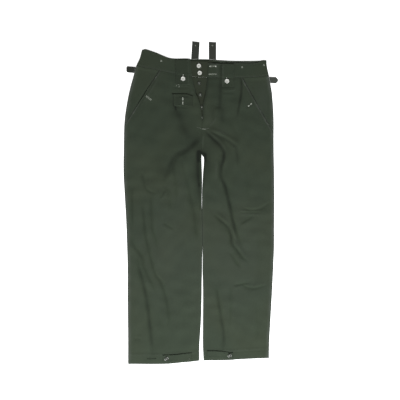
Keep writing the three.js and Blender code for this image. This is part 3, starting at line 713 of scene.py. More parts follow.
def rubbed_seams(leg, front_panel=True):
    """How pale a leg panel is, from 0 to 1: paler with wear along the side seam, the inseam and
    the hem's fold, paler by painted light along the pocket mouth to offset the shadow there, and
    darker by painted shade in the folds, patches and marks and along the fly. A back has the
    painted shade of the other leg's folds."""
    def at(x, y):
        side = (1 + 0.25 * ease(-50, 150, y)) * bell(np.abs(x - leg.side(y)) - 4, 6)
        inseam = bell(np.abs(x - leg.inner(y)) - 3, 5) * ease(CROTCH_Y - 100, CROTCH_Y - 190, y)
        hem = bell(y - leg.hem(x) - 1, 4)
        # Painted light along the pocket mouth, lifting the shadow of the front's step there.
        mouth = (0.55 - 0.4 * gaping(leg, y)) * bell(x - leg.mouth(y) - 1.5 * leg.into, 4)
        mouth = mouth * ease(leg.foot[1], leg.foot[1] + 10, y)
        uneven = 0.75 + 0.25 * np.sin(0.09 * y + 2 * np.sin(0.021 * y))
        # Painted shade along the fly's edge.
        fly = (0.3 if leg.into < 0 else 0.1) * bell(np.abs(x - leg.inner(y)) - 2, 6) * ease(280, 310, y)
        shade = fold_sums(x, y)[1] + patch_shade(x, y) + fly if front_panel else fold_sums(-x, y)[1]
        paler = (0.46 * side + 0.1 * inseam + 0.24 * hem + mouth) * uneven
        return np.clip(PLAIN_TONE + paler - shade / (2 * DEEPEST), 0, 1)
    return at


def back_face(leg):
    """A back's underside: flat on the floor, with faint grooves where its own folds press."""
    def at(x, y):
        pressed = 0.42 * np.clip(-fold_sums(-x, y)[0] / 3.0, 0, 1)
        inside = ease(2, 14, np.abs(x - leg.side(y))) * ease(2, 14, np.abs(x - leg.inner(y)))
        return pressed * inside * ease(445, 420, y)
    return at


for leg in (right, left):
    def outer_edge(y, leg=leg):
        return np.where(y < leg.foot[1], leg.side(y), leg.mouth(y))

    def back_inner(y, leg=leg):
        return np.where(y < CROTCH_Y, leg.inner(y), centre_back(y) - leg.into * SEAM / 2)

    def below(turn_y, apart):
        return lambda y: ease(turn_y + apart, turn_y - apart, y)

    front = add_cloth(f"front_{leg.name}", {
        "from": outer_edge, "to": leg.inner, "lower": leg.hem, "upper": shifted(waist_seam, -SEAM),
        "face": partial(front_face, leg), "wall": CLOTH, "rim": RIM,
        "turn_from": below(leg.foot[1], 2), "turn_to": below(CROTCH_Y, 5),
    }, cell=2.9, rub=rubbed_seams(leg))
    back = add_cloth(f"back_{leg.name}", {
        "from": leg.side, "to": back_inner, "lower": leg.hem, "upper": shifted(waist_seam, -SEAM),
        "face": back_face(leg), "wall": -CLOTH, "rim": ROLL,
        "turn_from": level(1.0), "turn_to": below(CROTCH_Y, 5),
    }, cell=4.6, rub=rubbed_seams(leg, front_panel=False))


# ---------------------------------------------------------------- slash pocket facings
# A facing of the same twill backs each slash pocket. It fills the corner
# between the pocket mouth and the side seam and runs a finger's width in under the front.

for leg in (right, left):
    facing = add_cloth(f"pocket_facing_{leg.name}", {
        "from": leg.side, "to": shifted(leg.mouth, leg.into * UNDERLAP),
        "lower": level(leg.foot[1] + 5.0), "upper": shifted(waist_seam, -SEAM),
        "face": partial(facing_face, leg), "wall": CLOTH, "rim": RIM,
        "turn_from": level(1.0),
    }, cell=3.5, rub=rubbed_seams(leg), slot="cloth_worn")


# ---------------------------------------------------------------- waistband
# A doubled band in three lengths: two fronts that end at the open fly, and one back. It is
# topstitched along its top edge and just above the seam that joins it to the panels.

front_top = curve([
    (-222, 545), (-216, 554), (-209, 558.6), (-200, 559.4), (-182, 554), (-160, 546), (-138, 536.6),
    (-116, 528.2), (-94, 525.4), (-39, 524.5), (27, 508), (128, 508.5), (205, 509.2), (220, 518.6),
    (240, 519),
])
back_top = curve([
    (-222, 542), (-214, 550), (-205, 553), (-182, 551), (-138, 533), (-94, 523), (-39, 523), (11, 523),
    (59, 520.3), (114, 517.2), (180, 516.8), (240, 518.4),
])


def band_face(x, y):
    """A waistband's height: level, dipping a little at each row of topstitching."""
    return HIP_TOP + 0.1 - 0.35 * bell(y - waist_seam(x) - 2.5, 1.6) - 0.3 * bell(front_top(x) - y - 4, 1.6)


def rubbed_band(x, y):
    """Painted highlights along the top edge, most of all by the fly, and just above the waist
    seam; painted shadow where a loop's edge or the fly's edge shades the band."""
    top = (0.22 + 0.16 * bell(x - 20, 60)) * bell(front_top(x) - y - 1, 3.4)
    painted_shade = 0.13 * bell(x - left.inner(y) - 2, 4) + 0.19 * bell(x - 74, 2.4) + 0.08 * bell(x - 69, 5)
    paler = top + 0.14 * bell(y - waist_seam(x) - 2, 3) + 0.12 * bell(x - 60, 5)
    return np.clip(PLAIN_TONE + paler - painted_shade, 0, 1)


def back_band_face(x, y):
    """The back band's underside: on the floor, and lifted where it shows above the left front."""
    return 4.2 * ease(0, 5, y - front_top(x)) * ease(62, 80, x)


def rubbed_back_band(x, y):
    """Painted light along the stretch of its top edge that shows above the left front, lifting the shadow
    that the front casts there.
    """
    return PLAIN_TONE + 0.3 * bell(back_top(x) - y - 3, 6) * ease(55, 75, x)


for leg in (right, left):
    band = add_cloth(f"waistband_front_{leg.name}", {
        "from": leg.side, "to": leg.inner, "lower": waist_seam, "upper": front_top,
        "face": band_face, "wall": BAND, "rim": RIM, "turn_from": level(1.0),
    }, cell=2.5, rub=rubbed_band)
band = add_cloth("waistband_back", {
    "from": right.side, "to": left.side, "lower": waist_seam, "upper": back_top,
    "face": back_band_face, "wall": -BAND, "rim": ROLL, "turn_from": level(1.0), "turn_to": level(1.0),
}, cell=3.0, rub=rubbed_back_band)


# ---------------------------------------------------------------- button catch
# The catch is a strip of twill behind the fly, sewn to the right front, that carries the
# buttons. Its waistband end reaches up between the two halves of the waistband.

CATCH_FACE = 3.8  # the heights of the catch's face above the floor, and of its waistband end's
CATCH_BAND_FACE = 4.3
warm_twill = twill("warm_twill", (0.0320, 0.0392, 0.0254), PALE_WEAR_AND_LIGHT)
catch_edge = curve([(270, 22), (330, 34), (458, 42)])


def rubbed_catch(x, y):
    """Painted shade: the catch darkens downwards, where the fronts close over it and shade it."""
    return PLAIN_TONE - 0.12 * ease(440, 330, y)


catch = add_cloth("fly_catch", {
    "from": shifted(right.inner, -UNDERLAP), "to": catch_edge,
    "lower": level(270.0), "upper": shifted(waist_seam, -SEAM),
    "face": level(CATCH_FACE), "wall": CLOTH,
}, cell=3.0, material=warm_twill, slot="cloth_worn", rub=rubbed_catch)
catch = add_cloth("waistband_catch", {
    "from": shifted(right.inner, -UNDERLAP), "to": level(42.0), "lower": waist_seam, "upper": level(516.0),
    "face": level(CATCH_BAND_FACE), "wall": BAND,
}, cell=3.0, material=warm_twill, slot="cloth_worn")


# ---------------------------------------------------------------- belt loops, flap, ankle straps
# Wide belt loops are sewn into the band's top edge and button below the waist seam. A small
# flap closes the watch pocket. Short straps at the hems draw the trouser ends in.

PROUD = 2 * SEAM  # how far a piece stands off the cloth that it lies on


def lying(leg, wall):
    """The face of a piece that lies on the waistband and the front: a clearance and its own wall
    above them."""
    def face(x, y):
        return np.where(y > waist_seam(x), band_face(x, y), front_face(leg, x, y)) + PROUD + wall
    return face


def add_overlay(name, leg, left_edge, right_edge, lower, upper, flat, wall=BAND, **looks):
    """A piece that lies on a front. The flat size in metres that it is given is not used."""
    piece = add_cloth(name, {
        "from": left_edge, "to": right_edge, "lower": lower, "upper": upper,
        "face": lying(leg, wall), "wall": wall,
    }, cell=2.0, **looks)
    flat[0] * flat[1]


def rubbed_loop(x, y):
    """A painted highlight along a loop's inner edge, and painted shade along the edges where they turn under;
    the right loop is a little darker all over.
    """
    inner_x, body = (44, 0.42) if x.mean() < 0 else (80, PLAIN_TONE)
    turned = 0.27 * bell(x - 76, 2) + 0.1 * bell(x + 93, 2)
    return np.clip(body + 0.2 * bell(np.abs(x) - inner_x, 3) - turned, 0, 1)


def rubbed_flap(x, y):
    """Painted light and shade on the flap: highlights along its lower edge, its side and a line below its
    top, and painted shadow under its sewn upper edge, along a welt below it and down its left edge, a little
    darker all over.
    """
    sewn = 0.16 * bell(y - 397, 2.6) + 0.18 * bell(y - 384.5, 2.4) * ease(-82, -76, x) * ease(-42, -50, x)
    pale = 0.14 * bell(y - 353, 2.2) + 0.12 * bell(x + 95, 2.6) + 0.14 * bell(y - 390, 2.8)
    return np.clip(0.36 + pale - sewn - 0.18 * bell(x + 102, 2.4), 0, 1)


# Each belt loop: its leg, its lower left, lower right, upper right and upper left corners, its cut.
BELT_LOOPS = [
    (right, [(-92, 430), (-40, 430), (-45, 522), (-95, 522)], (0.055, 0.1)),
    (left, [(77, 423), (121, 423), (121, 506), (76, 506)], (0.047, 0.09)),
]
for leg, (foot0, foot1, head1, head0), flat in BELT_LOOPS:
    add_overlay(f"belt_loop_{leg.name}", leg, straight(foot0, head0), straight(foot1, head1),
                level(foot0[1]), level(head0[1]), flat, rub=rubbed_loop)

# Each ankle strap: its leg, its middle line, where it starts and ends, half its width, its cut.
ANKLE_STRAPS = [
    (right, curve([(-139, -568.5), (-91, -566.5), (-58, -562), (-33, -560)]), -139.0, -33.0, 12,
     (0.11, 0.026)),
    (left, curve([(22, -552), (68, -553), (104, -558), (117, -559.5)]), 22.0, 117.0, 11.5,
     (0.097, 0.024)),
]
for leg, middle, start, end, half, flat in ANKLE_STRAPS:
    def rubbed_strap(x, y, middle=middle, start=start, end=end, half=half):
        """Painted shade: a strap is darker at its outline, where its edges turn under."""
        turned = bell(half - np.abs(y - middle(x)), 1.8) + bell(np.minimum(x - start, end - x), 1.8)
        return np.clip(0.52 - 0.16 * turned, 0, 1)

    add_overlay(f"ankle_strap_{leg.name}", leg, level(start), level(end),
                shifted(middle, -half), shifted(middle, half), flat, slot="cloth_worn", rub=rubbed_strap)
add_overlay("watch_pocket_flap", right, straight((-96, 352), (-105, 396)), straight((-30, 350), (-28, 386)),
            curve([(-96, 353), (-30, 350)]), curve([(-105, 396.5), (-50, 395), (-28, 387)]),
            (0.078, 0.046), wall=CLOTH, rub=rubbed_flap)


# ---------------------------------------------------------------- waist tabs and brace straps
# Adjuster tabs stick out from under the side seams and droop to the floor, a rounded dark one
# and a pointed pale one. Two brace straps, doubled and edge-stitched, are sewn into the back of
# the band's top edge.

TAB_CORNER = 6.0  # the radius of the rounded end's corners
TAB_POINT = 11.0  # how long the pointed end's slope would be from no width to all of it
dark_twill = twill("dark_twill", (0.0272, 0.0308, 0.0262), PALE_WEAR_AND_LIGHT)
pale_twill = twill("pale_twill", (0.0600, 0.0680, 0.0610), PALE_WEAR_AND_LIGHT)
greyed_twill = twill("greyed_twill", (0.0390, 0.0430, 0.0365), PALE_WEAR_AND_LIGHT)


def rounded_end(away, half):
    """The share of its half width at a distance from a rounded end: a quarter circle, then all."""
    short = TAB_CORNER - np.minimum(away, TAB_CORNER)
    return 1 - (TAB_CORNER - np.sqrt(TAB_CORNER**2 - short**2)) / half


def pointed_end(away, half):
    """The share of its half width at a distance from a blunt point: straight up to the whole."""
    return np.clip(0.3 + away / TAB_POINT, 0.3, 1)


def tab_edges(leg, end, root, tip, half):
    """A tab's lower and upper edges, from its middle line and its end's shape."""
    def edge(x, way):
        away = np.abs(tip[0] - x)
        middle = mix(tip[1], root, np.clip(away / abs(tip[0] - leg.side(root)), 0, 1))
        return middle + way * half * end(away, half)

    return lambda x: edge(x, -1), lambda x: edge(x, 1)


# Each tab: its leg, its end's shape, the height of its root, its tip, half its width, its cloth.
SIDE_TABS = [
    (right, rounded_end, 483.5, (-271.8, 486.5), 11.6, dark_twill),
    (left, pointed_end, 447.0, (281.8, 446.0), 11.4, pale_twill),
]
for leg, end, root, tip, half, cloth in SIDE_TABS:
    lower, upper = tab_edges(leg, end, root, tip, half)

    def rubbed_tab(x, y, lower=lower, upper=upper, tip=tip):
        """Painted shade: a tab's edges are darker, where they turn under."""
        return 0.52 - 0.1 * bell(np.minimum.reduce([y - lower(x), upper(x) - y, np.abs(tip[0] - x)]), 1.6)

    def tab_face(x, y, leg=leg, root=root):
        """A tab lies on the floor and rises under the side seam."""
        return CLOTH + 2.6 * ease(26, 4, np.abs(x - leg.side(root)))

    tab = add_cloth(f"side_tab_{leg.name}", {
        "from": shifted(leg.side, -leg.into * SEAM), "to": level(tip[0]), "lower": lower, "upper": upper,
        "face": tab_face, "wall": CLOTH,
    }, cell=1.2, material=cloth, slot="cloth_worn", rub=rubbed_tab)

# Each strap: its name, where its sides start on the band, and the two corners of its end.
BRACE_STRAPS = [
    ("right", (-35.6, -7.6), ((-31.4, 588.9), (-4, 585.2))),
    ("left", (29.2, 56.2), ((29.2, 586.6), (56.2, 584.8))),
]
for name, roots, corners in BRACE_STRAPS:
    def rubbed_brace(x, y, roots=roots):
        """A brace strap is darker beside its root's left edge, and its end is a little paler."""
        return PLAIN_TONE - 0.16 * bell(x - roots[0] - 1, 2.4) * ease(565, 540, y) + 0.08 * bell(y - 586, 3)

    strap = add_cloth(f"brace_strap_{name}", {
        "from": straight((roots[0], 520), corners[0]), "to": straight((roots[1], 520), corners[1]),
        "lower": shifted(back_top, SEAM), "upper": curve(corners),
        "face": level(BAND), "wall": BAND,
    }, cell=1.8, material=greyed_twill, slot="cloth_worn", rub=rubbed_brace)


# ---------------------------------------------------------------- buttons
# Four-hole sewn-through buttons, dished inside a raised rim. Those of the waistband and belt
# loops are off-white, and the fly's and the ankle straps' are painted dark and paler at the rim;
# on the ankle buttons the rim's left and right carry a painted glint.

BUTTON_CELLS = 56  # cells across a button's square grid


def horn(name, colour, rubbed, roughness):
    """Button stock: faint clouding, a soft gloss, and a rim made paler by the attribute `rub`, which on the
    ankle buttons is a painted glint.
    """
    stock = Finish(name, Specular_IOR_Level=0.35, Coat_Roughness=0.3)
    place = stock.node("ShaderNodeTexCoord", None, None, output="Object")
    cloud = stock.noise(place, 260.0, 3.0)
    rub = stock.node("ShaderNodeAttribute", {"attribute_name": "rub"}, None, output="Fac")
    deep = (*[channel * 0.85 for channel in colour], 1)
    body = stock.tint(cloud.between(0.35, 0.65), deep, (*colour, 1))
    stock.join(stock.shader.inputs["Base Color"], stock.tint(rub, body, (*rubbed, 1)))
    stock.join(stock.shader.inputs["Roughness"], cloud * 0.12 + roughness)
    sockets = {"Strength": 0.2, "Distance": 0.0001, "Height": stock.noise(place, 2400.0, 2.0)}
    stock.join(stock.shader.inputs["Normal"], stock.node("ShaderNodeBump", None, sockets))
    return stock.material


HOLE_APART = 0.17  # a hole's distance from the middle along both axes, in radii


def button_sheets(radius, thick, glint_sides):
    """A button's top and bottom over a square grid drawn out to a disc, as u sqrt(1 - v^2/2)
    across. Four pits a little way from the middle are the holes. The rim is made paler all
    round, or, when the last argument is set, only at its left and right as a painted glint."""
    u, v = np.meshgrid(np.linspace(-1, 1, BUTTON_CELLS + 1), np.linspace(-1, 1, BUTTON_CELLS + 1))
    x, y = radius * u * np.sqrt(1 - v * v / 2), radius * v * np.sqrt(1 - u * u / 2)
    share = np.hypot(x, y) / radius
    rim = 0.6 + 0.4 * bell(share - 0.84, 0.12) - 0.4 * ease(0.88, 1, share) ** 2
    apart = HOLE_APART * radius
    from_hole = np.hypot(np.abs(x) - apart, np.abs(y) - apart)
    top = thick * (rim - 0.45 * ease(0.115 * radius, 0.085 * radius, from_hole))
    bottom = thick * 0.28 * ease(0.78, 1, share)
    rub = bell(share - 0.86, 0.12) * (ease(0.55, 0.85, np.abs(x) / radius) if glint_sides else 1)
    return np.stack([x, y, top], -1), np.stack([x, y, bottom], -1), rub


def add_button(name, place, seat, size, thick, stock, slot, turn):
    """A button in place of its node, standing on its seat and turned about its own axis."""
    top, bottom, rim = button_sheets(size / 2, thick, stock is ankle_stock)
    points = np.concatenate([top.reshape(-1, 3), bottom.reshape(-1, 3)])
    spin = np.array([[np.cos(turn), -np.sin(turn)], [np.sin(turn), np.cos(turn)]])
    points[:, :2] = points[:, :2] @ spin.T + place
    points[:, 2] += seat
    rub = np.concatenate([rim.ravel(), 0 * rim.ravel()])
    button = new_piece(f"{name}_disc", points, quads_of(top), stock, rub=rub)
    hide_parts(name)


white_stock = horn("button_white_stock", (0.66, 0.65, 0.615), (0.76, 0.75, 0.715), 0.36)
dark_stock = horn("button_dark_stock", (0.029, 0.034, 0.025), (0.052, 0.058, 0.047), 0.5)
# The ankle buttons' bright rim colour is a painted glint.
ankle_stock = horn("ankle_button_stock", (0.032, 0.036, 0.029), (0.46, 0.47, 0.44), 0.5)
over_right, over_left = lying(right, BAND), lying(left, BAND)  # the faces of the loops and straps
# Each kind: its width, thickness, stock and slot.
WHITE = (16, 2.7, white_stock, "button_white")
FLY = (14, 2.0, dark_stock, "button_dark")
ANKLE = (15, 2.2, ankle_stock, "button_dark")
ON_CATCH, ON_CATCH_BAND = CATCH_FACE + SEAM, CATCH_BAND_FACE + SEAM
# Each button: its node, place, the height it stands on where that is the catch, kind and turn.
BUTTONS = [
    ("waistband_button_upper", (-6.9, 498.6), ON_CATCH_BAND, WHITE, 0.2),
    ("waistband_button_lower", (-3.7, 472.7), ON_CATCH_BAND, WHITE, 0.9),
    ("belt_loop_button_right", (-64.6, 451.4), None, WHITE, 0.5),
    ("belt_loop_button_left", (95.6, 442.4), None, WHITE, 1.2),
    ("fly_button_1", (-5.7, 434.4), ON_CATCH, FLY, 0.3),
    ("fly_button_2", (-1.5, 392.4), ON_CATCH, FLY, 0.8),
    ("fly_button_3", (3.6, 346.8), ON_CATCH, FLY, 0.1),
    ("fly_button_4", (4.6, 308.4), ON_CATCH, FLY, 1.1),
    ("ankle_button_right", (-124.8, -570.1), None, ANKLE, 0.6),
    ("ankle_button_left", (105.5, -559.0), None, ANKLE, 0.4),
]


def button_seat(place, seat):
    """A button's height: on the catch, or clear of the loop or strap that it lies on."""
    lie = over_right if place[0] < 0 else over_left
    return lie(*np.array(place, float)) + PROUD if seat is None else seat


for name, place, seat, kind, turn in BUTTONS:
    add_button(name, place, button_seat(place, seat), *kind, turn)


# ---------------------------------------------------------------- sewing: thread and topstitching
# Tonal thread runs along the hems, pockets, fly, waistband, loops and straps. Each stitch is a
# short bar that dives into the cloth at both ends, with a small gap to the next.

STITCH = 3.2  # from the start of one stitch to the next
THREAD = 0.34  # the thread's radius


def spun(name, colour):
    """Cotton thread: matte, with the colour uneven along it and a fine fibrous bump."""
    cotton = Finish(name, Specular_IOR_Level=0.15, Roughness=0.85)
    place = cotton.node("ShaderNodeTexCoord", None, None, output="Object")
    fibre = cotton.noise(place, 1500.0, 3.0)
    deep = (*[channel * 0.7 for channel in colour], 1)
    body = cotton.tint(fibre.between(0.3, 0.7), deep, (*colour, 1))
    cotton.join(cotton.shader.inputs["Base Color"], body)
    sockets = {"Strength": 0.5, "Distance": 0.0001, "Height": fibre}
    cotton.join(cotton.shader.inputs["Normal"], cotton.node("ShaderNodeBump", None, sockets))
    return cotton.material


def thread_bars(starts, ends, radius, arch):
    """Points and quads of bars between places in millimetres. Each bar has five four-sided
    rings, and stands up by `arch` of its radius in the middle and sinks at both ends."""
    ahead = ends - starts
    ahead = ahead / np.linalg.norm(ahead, axis=1, keepdims=True)
    side = np.cross(ahead, [0.0, 0.0, 1.0])
    side = side / np.linalg.norm(side, axis=1, keepdims=True)
    up = np.cross(side, ahead)
    share = np.array([0, 0.16, 0.5, 0.84, 1])[None, :, None]
    girth = radius * np.array([0.45, 1, 1.05, 1, 0.45])[None, :, None, None]
    lift = radius * np.array([-1.0, 0.3, 0.3 + arch, 0.3, -1.0])[None, :, None]
    middle = mix(starts[:, None], ends[:, None], share) + up[:, None] * lift
    turn = np.pi * (np.arange(4) + 0.5) / 2
    round_it = np.cos(turn)[None, :, None] * side[:, None] + np.sin(turn)[None, :, None] * up[:, None]
    points = middle[:, :, None] + girth * round_it[:, None]
    index = np.arange(len(starts) * 20).reshape(-1, 5, 4)
    onward = np.roll(index, -1, axis=2)
    skin = np.stack([index[:, :-1], index[:, 1:], onward[:, 1:], onward[:, :-1]], -1).reshape(-1, 4)
    caps = [index[:, 0], index[:, -1, ::-1]]
    return points.reshape(-1, 3), np.concatenate([skin, *caps])


def add_thread(name, rows, cotton, radius=THREAD, arch=0.4):
    """One piece of all the bars in rows of (starts, ends)."""
    starts = np.concatenate([row[0] for row in rows])
    ends = np.concatenate([row[1] for row in rows])
    points, quads = thread_bars(starts, ends, radius, arch)
    new_piece(name, points, quads, cotton, smooth_below=80)


def placed(x, y, face):
    """Places on a surface."""
    return np.stack([x, y, face(x, y) + 0 * x], -1)


def stitches(line, face, pitch=STITCH):
    """Starts and ends of stitches at even steps along a line of (x, y) places on a surface."""
    line = np.array(line, float)
    travelled = np.concatenate([[0], np.cumsum(np.hypot(*np.diff(line, axis=0).T))])
    count = max(2, round(travelled[-1] / pitch))
    begin = travelled[-1] * (np.arange(count) + 0.1) / count
    end = begin + travelled[-1] * 0.8 / count
    ends = [placed(np.interp(at, travelled, line[:, 0]), np.interp(at, travelled, line[:, 1]), face)
            for at in (begin, end)]
    return tuple(ends)


def along(edge, start, end, by=0.0):
    """Places every few millimetres on an edge that gives y at an x, moved up by a distance."""
    x = np.linspace(start, end, max(2, round(abs(end - start) / 4)))
    return np.stack([x, edge(x) + by], -1)


def down(edge, start, end, by=0.0):
    """Places every few millimetres on an edge that gives x at a y, moved across."""
    y = np.linspace(start, end, max(2, round(abs(end - start) / 4)))
    return np.stack([edge(y) + by, y], -1)


olive_cotton = spun("olive_cotton", (0.054, 0.064, 0.048))
on_right, on_left = partial(front_face, right), partial(front_face, left)
for leg, on_front in ((right, on_right), (left, on_left)):
    hem_ends = sorted([leg.side(-540) + leg.into * 5, leg.inner(-540) - leg.into * 5])
    hem_row = stitches(along(leg.hem, *hem_ends, by=HEM_DEPTH), on_front)
    add_thread(f"hem_stitching_{leg.name}", [hem_row], olive_cotton)
    foot, top = leg.foot[1] + 3, waist_seam(leg.head[0]) - 4
    mouth_rows = [stitches(down(leg.mouth, foot, top, by=leg.into * inset), on_front) for inset in (1.8, 7.5)]
    add_thread(f"pocket_stitching_{leg.name}", mouth_rows, olive_cotton)
    fly_x = leg.inner(480)
    fly_end = fly_x - leg.into * 4
    band_rows = [
        along(front_top, leg.side(530) + leg.into * 6, fly_end, by=-4),
        along(waist_seam, leg.side(480) + leg.into * 6, fly_end, by=2.5),
        down(leg.inner, waist_seam(fly_x) + 4, front_top(fly_x) - 5, by=-leg.into * 4),
    ]
    band_rows = [stitches(row, band_face) for row in band_rows]
    add_thread(f"waistband_stitching_{leg.name}", band_rows, olive_cotton)

# The curved row that holds the fly's facing, from the waist seam down to the foot of the fly.
J_LINE = [(66.4, 452), (64.5, 430), (62.8, 385), (60, 345), (54, 312), (40, 288), (20, 278), (6, 275.6)]
add_thread("fly_stitching", [
    stitches(bent(J_LINE), on_left),
    stitches(down(left.inner, 290, 452, by=4), on_left),
    stitches(down(right.inner, 300, 455, by=-4), on_right),
    stitches(down(level(66.4), 461, 503), band_face),
], olive_cotton)


def round_edges(corners, inset):
    """A closed line inside a four-cornered piece, an inset in from each edge."""
    corners = np.array(corners, float)
    middle = corners.mean(axis=0)
    reach = corners - middle
    inner = middle + reach - np.sign(reach) * inset
    return np.concatenate([inner, inner[:1]])


for leg, corners, _ in BELT_LOOPS:
    on_loop = lying(leg, BAND)
    tack_y = waist_seam(0) + 12
    edge_row = stitches(round_edges(corners, 3.2), on_loop)
    tack_row = stitches([(corners[0][0] + 5, tack_y), (corners[1][0] - 5, tack_y)], on_loop)
    add_thread(f"belt_loop_stitching_{leg.name}", [edge_row, tack_row], olive_cotton)
add_thread("belt_loop_lower_stitching", [
    stitches([(83, 410.6), (118, 410.6)], on_left), stitches([(-84, 425), (-40, 425)], on_right),
], olive_cotton)
for leg, middle, start, end, _, _ in ANKLE_STRAPS:
    on_strap, start, end = lying(leg, BAND), start + 3, end - 3
    rows = [stitches(along(middle, start, end, by=by), on_strap) for by in (-9, 9)]
    rows += [stitches(down(level(x), middle(x) - 8, middle(x) + 8), on_strap) for x in (start, end)]
    add_thread(f"ankle_strap_stitching_{leg.name}", rows, olive_cotton)
on_flap = lying(right, CLOTH)
add_thread("watch_pocket_stitching", [
    stitches([(-101, 391), (-93.5, 356), (-33, 353.5), (-31, 385)], on_flap),
    stitches([(-103, 391.5), (-70, 391), (-32, 389)], on_flap),
], olive_cotton)
on_brace = level(BAND)
add_thread("brace_strap_stitching", [
    stitches(round_edges([(roots[0], 524), (roots[1], 524), corners[1], corners[0]], 3), on_brace)
    for _, roots, corners in BRACE_STRAPS
], olive_cotton)


# ---------------------------------------------------------------- sewing: buttonholes and tacks
# Paler, thicker thread is whipped crosswise along the buttonholes, over the pocket ends as
# bar tacks, in small crosses on the waistband, round an eyelet, and through the buttons.


SLIT = 0.5  # half the width of a buttonhole's slit
END_TACKS = (0.5, 1.2, 1.9)  # how far past a buttonhole's ends its cross bars lie


def whipped(start, end, face, reach=2.3, pitch=0.82):
    """A buttonhole: bars from the slit outwards down both sides, and across at both ends."""
    start, end = np.array(start, float), np.array(end, float)
    length = np.hypot(*(end - start))
    ahead = (end - start) / length
    side = np.array([-ahead[1], ahead[0]])
    step = np.linspace(0, 1, round(length / pitch))[:, None]
    middle = start + (end - start) * step
    near = np.concatenate([middle + side * SLIT, middle - side * SLIT])
    far = np.concatenate([middle + side * reach, middle - side * reach])
    for corner, way in ((start, -1), (end, 1)):
        tacks = corner + way * ahead * np.array(END_TACKS)[:, None]
        near, far = np.concatenate([near, tacks - side * reach]), np.concatenate([far, tacks + side * reach])
    return placed(*near.T, face), placed(*far.T, face)


def tack(start, end, face, reach=1.5, pitch=0.7):
    """A bar tack: close bars across the way from one place to another. They join the outer ends
    of a buttonhole's bars, side to side, without the bars that close its ends."""
    far = whipped(start, end, face, reach=reach, pitch=pitch)[1]
    both = len(far) - 2 * len(END_TACKS)
    return far[both // 2:both], far[:both // 2]


def crossed(place, face, size=6.5):
    """A small cross of three threads each way."""
    arm, spread = size / 2, np.array([[-0.7], [0.0], [0.7]])
    rows = []
    for way in (np.array([1, 1]), np.array([1, -1])):
        shift = spread * np.array([-way[1], way[0]]) * 0.7
        rows.append([placed(*(place + end * arm * way + shift).T, face) for end in (-1, 1)])
    return tuple(np.concatenate(ends) for ends in zip(*rows))


def eyelet(place, face, arcs, inner=3.6, outer=7.2, pitch=8):
    """Bars that point outwards round a small hole, over arcs of (start, end) in degrees."""
    turn = np.radians(np.concatenate([np.arange(start, end, pitch) for start, end in arcs]))
    way = np.stack([np.cos(turn), np.sin(turn)], -1)
    return placed(*(place + way * inner).T, face), placed(*(place + way * outer).T, face)


pale_cotton = spun("pale_cotton", (0.34, 0.36, 0.31))
faint_cotton = spun("faint_cotton", (0.13, 0.142, 0.118))
bright_cotton = spun("bright_cotton", (0.60, 0.62, 0.56))
add_thread("waistband_buttonholes", [
    whipped((33.5, 496.8), (54.5, 496.8), band_face, reach=3.0),
    whipped((31, 467.9), (54.5, 467.9), band_face, reach=2.8),
], pale_cotton, radius=0.4)
add_thread("waistband_buttonhole_tacks", [
    tack((52.5, 496.8), (56.5, 496.8), band_face, 3.0), tack((32.5, 496.8), (36, 496.8), band_face, 2.6),
], bright_cotton, radius=0.42)
add_thread("pocket_buttonholes", [
    whipped((-198, 387), (-181.5, 375), on_right, reach=3.2),
    whipped((173.5, 352), (185, 359.5), on_left, reach=1.8),
], pale_cotton, radius=0.4)
add_thread("pocket_buttonhole_tacks", [
    tack((172.2, 351), (176.4, 353.2), on_left, 2.6), tack((181.5, 358.2), (185, 360.6), on_left, 2.0),
], bright_cotton, radius=0.42)
add_thread("pocket_bar_tacks", [
    tack((-167.5, 453.5), (-160.5, 459), on_right), tack((-248, 324), (-242.5, 331), on_right),
    tack((157, 433.5), (162, 427), on_left), tack((243, 289.5), (247.5, 283.5), on_left),
], faint_cotton, radius=0.36)
add_thread("fly_bar_tack", [
    tack((-14, 274), (3, 270), on_right, 1.2), tack((17, 268), (28, 270), on_left, 1.2),
], faint_cotton, radius=0.34)
worn_cotton = spun("worn_cotton", (0.22, 0.235, 0.20))
add_thread("fly_bar_tack_middle", [tack((5.5, 269), (17, 267.5), on_left, 2.2)], worn_cotton, radius=0.36)
add_thread("waistband_crosses", [
    crossed(place, band_face) for place in ((-144.2, 516.5), (150.4, 493.5), (230.3, 501.9))
], pale_cotton, radius=0.42)
add_thread("watch_flap_buttonhole", [
    whipped((-65.6, 381), (-65.6, 359.5), on_flap, reach=2.2),
], pale_cotton, radius=0.38)
add_thread("watch_flap_tacks", [
    tack((-65.6, 381), (-65.6, 374.5), on_flap, 2.4), tack((-65.6, 366), (-65.6, 360), on_flap, 1.4),
], bright_cotton, radius=0.42)
EYELET_ARCS = [(140, 185), (35, 90), (-62, 2)]
add_thread("thread_eyelet", [eyelet((-83.2, 425), on_right, EYELET_ARCS)], worn_cotton, radius=0.4)
add_thread("belt_loop_buttonhole_tips", [
    tack((-64, 466.5), (-64.3, 460.5), over_right, 1.7),
    tack((94.4, 456), (94.8, 451.5), over_left, 1.7),
], bright_cotton, radius=0.42)
add_thread("ankle_strap_tacks", [
    tack((-46, -575), (-41, -568), over_right, 1.3), tack((87.5, -552), (90.5, -548.5), over_left, 1.0),
], faint_cotton, radius=0.36)
add_thread("brace_strap_tacks", [
    tack((-21, 574.5), (-17, 571.5), on_brace, 1.6), tack((40.5, 573), (45, 573), on_brace, 2.2),
], pale_cotton, radius=0.4)
dark_cotton = spun("dark_cotton", (0.018, 0.023, 0.016))
add_thread("hem_buttonhole", [whipped((-193, -569.6), (-165, -569.2), on_right)], dark_cotton, radius=0.4)


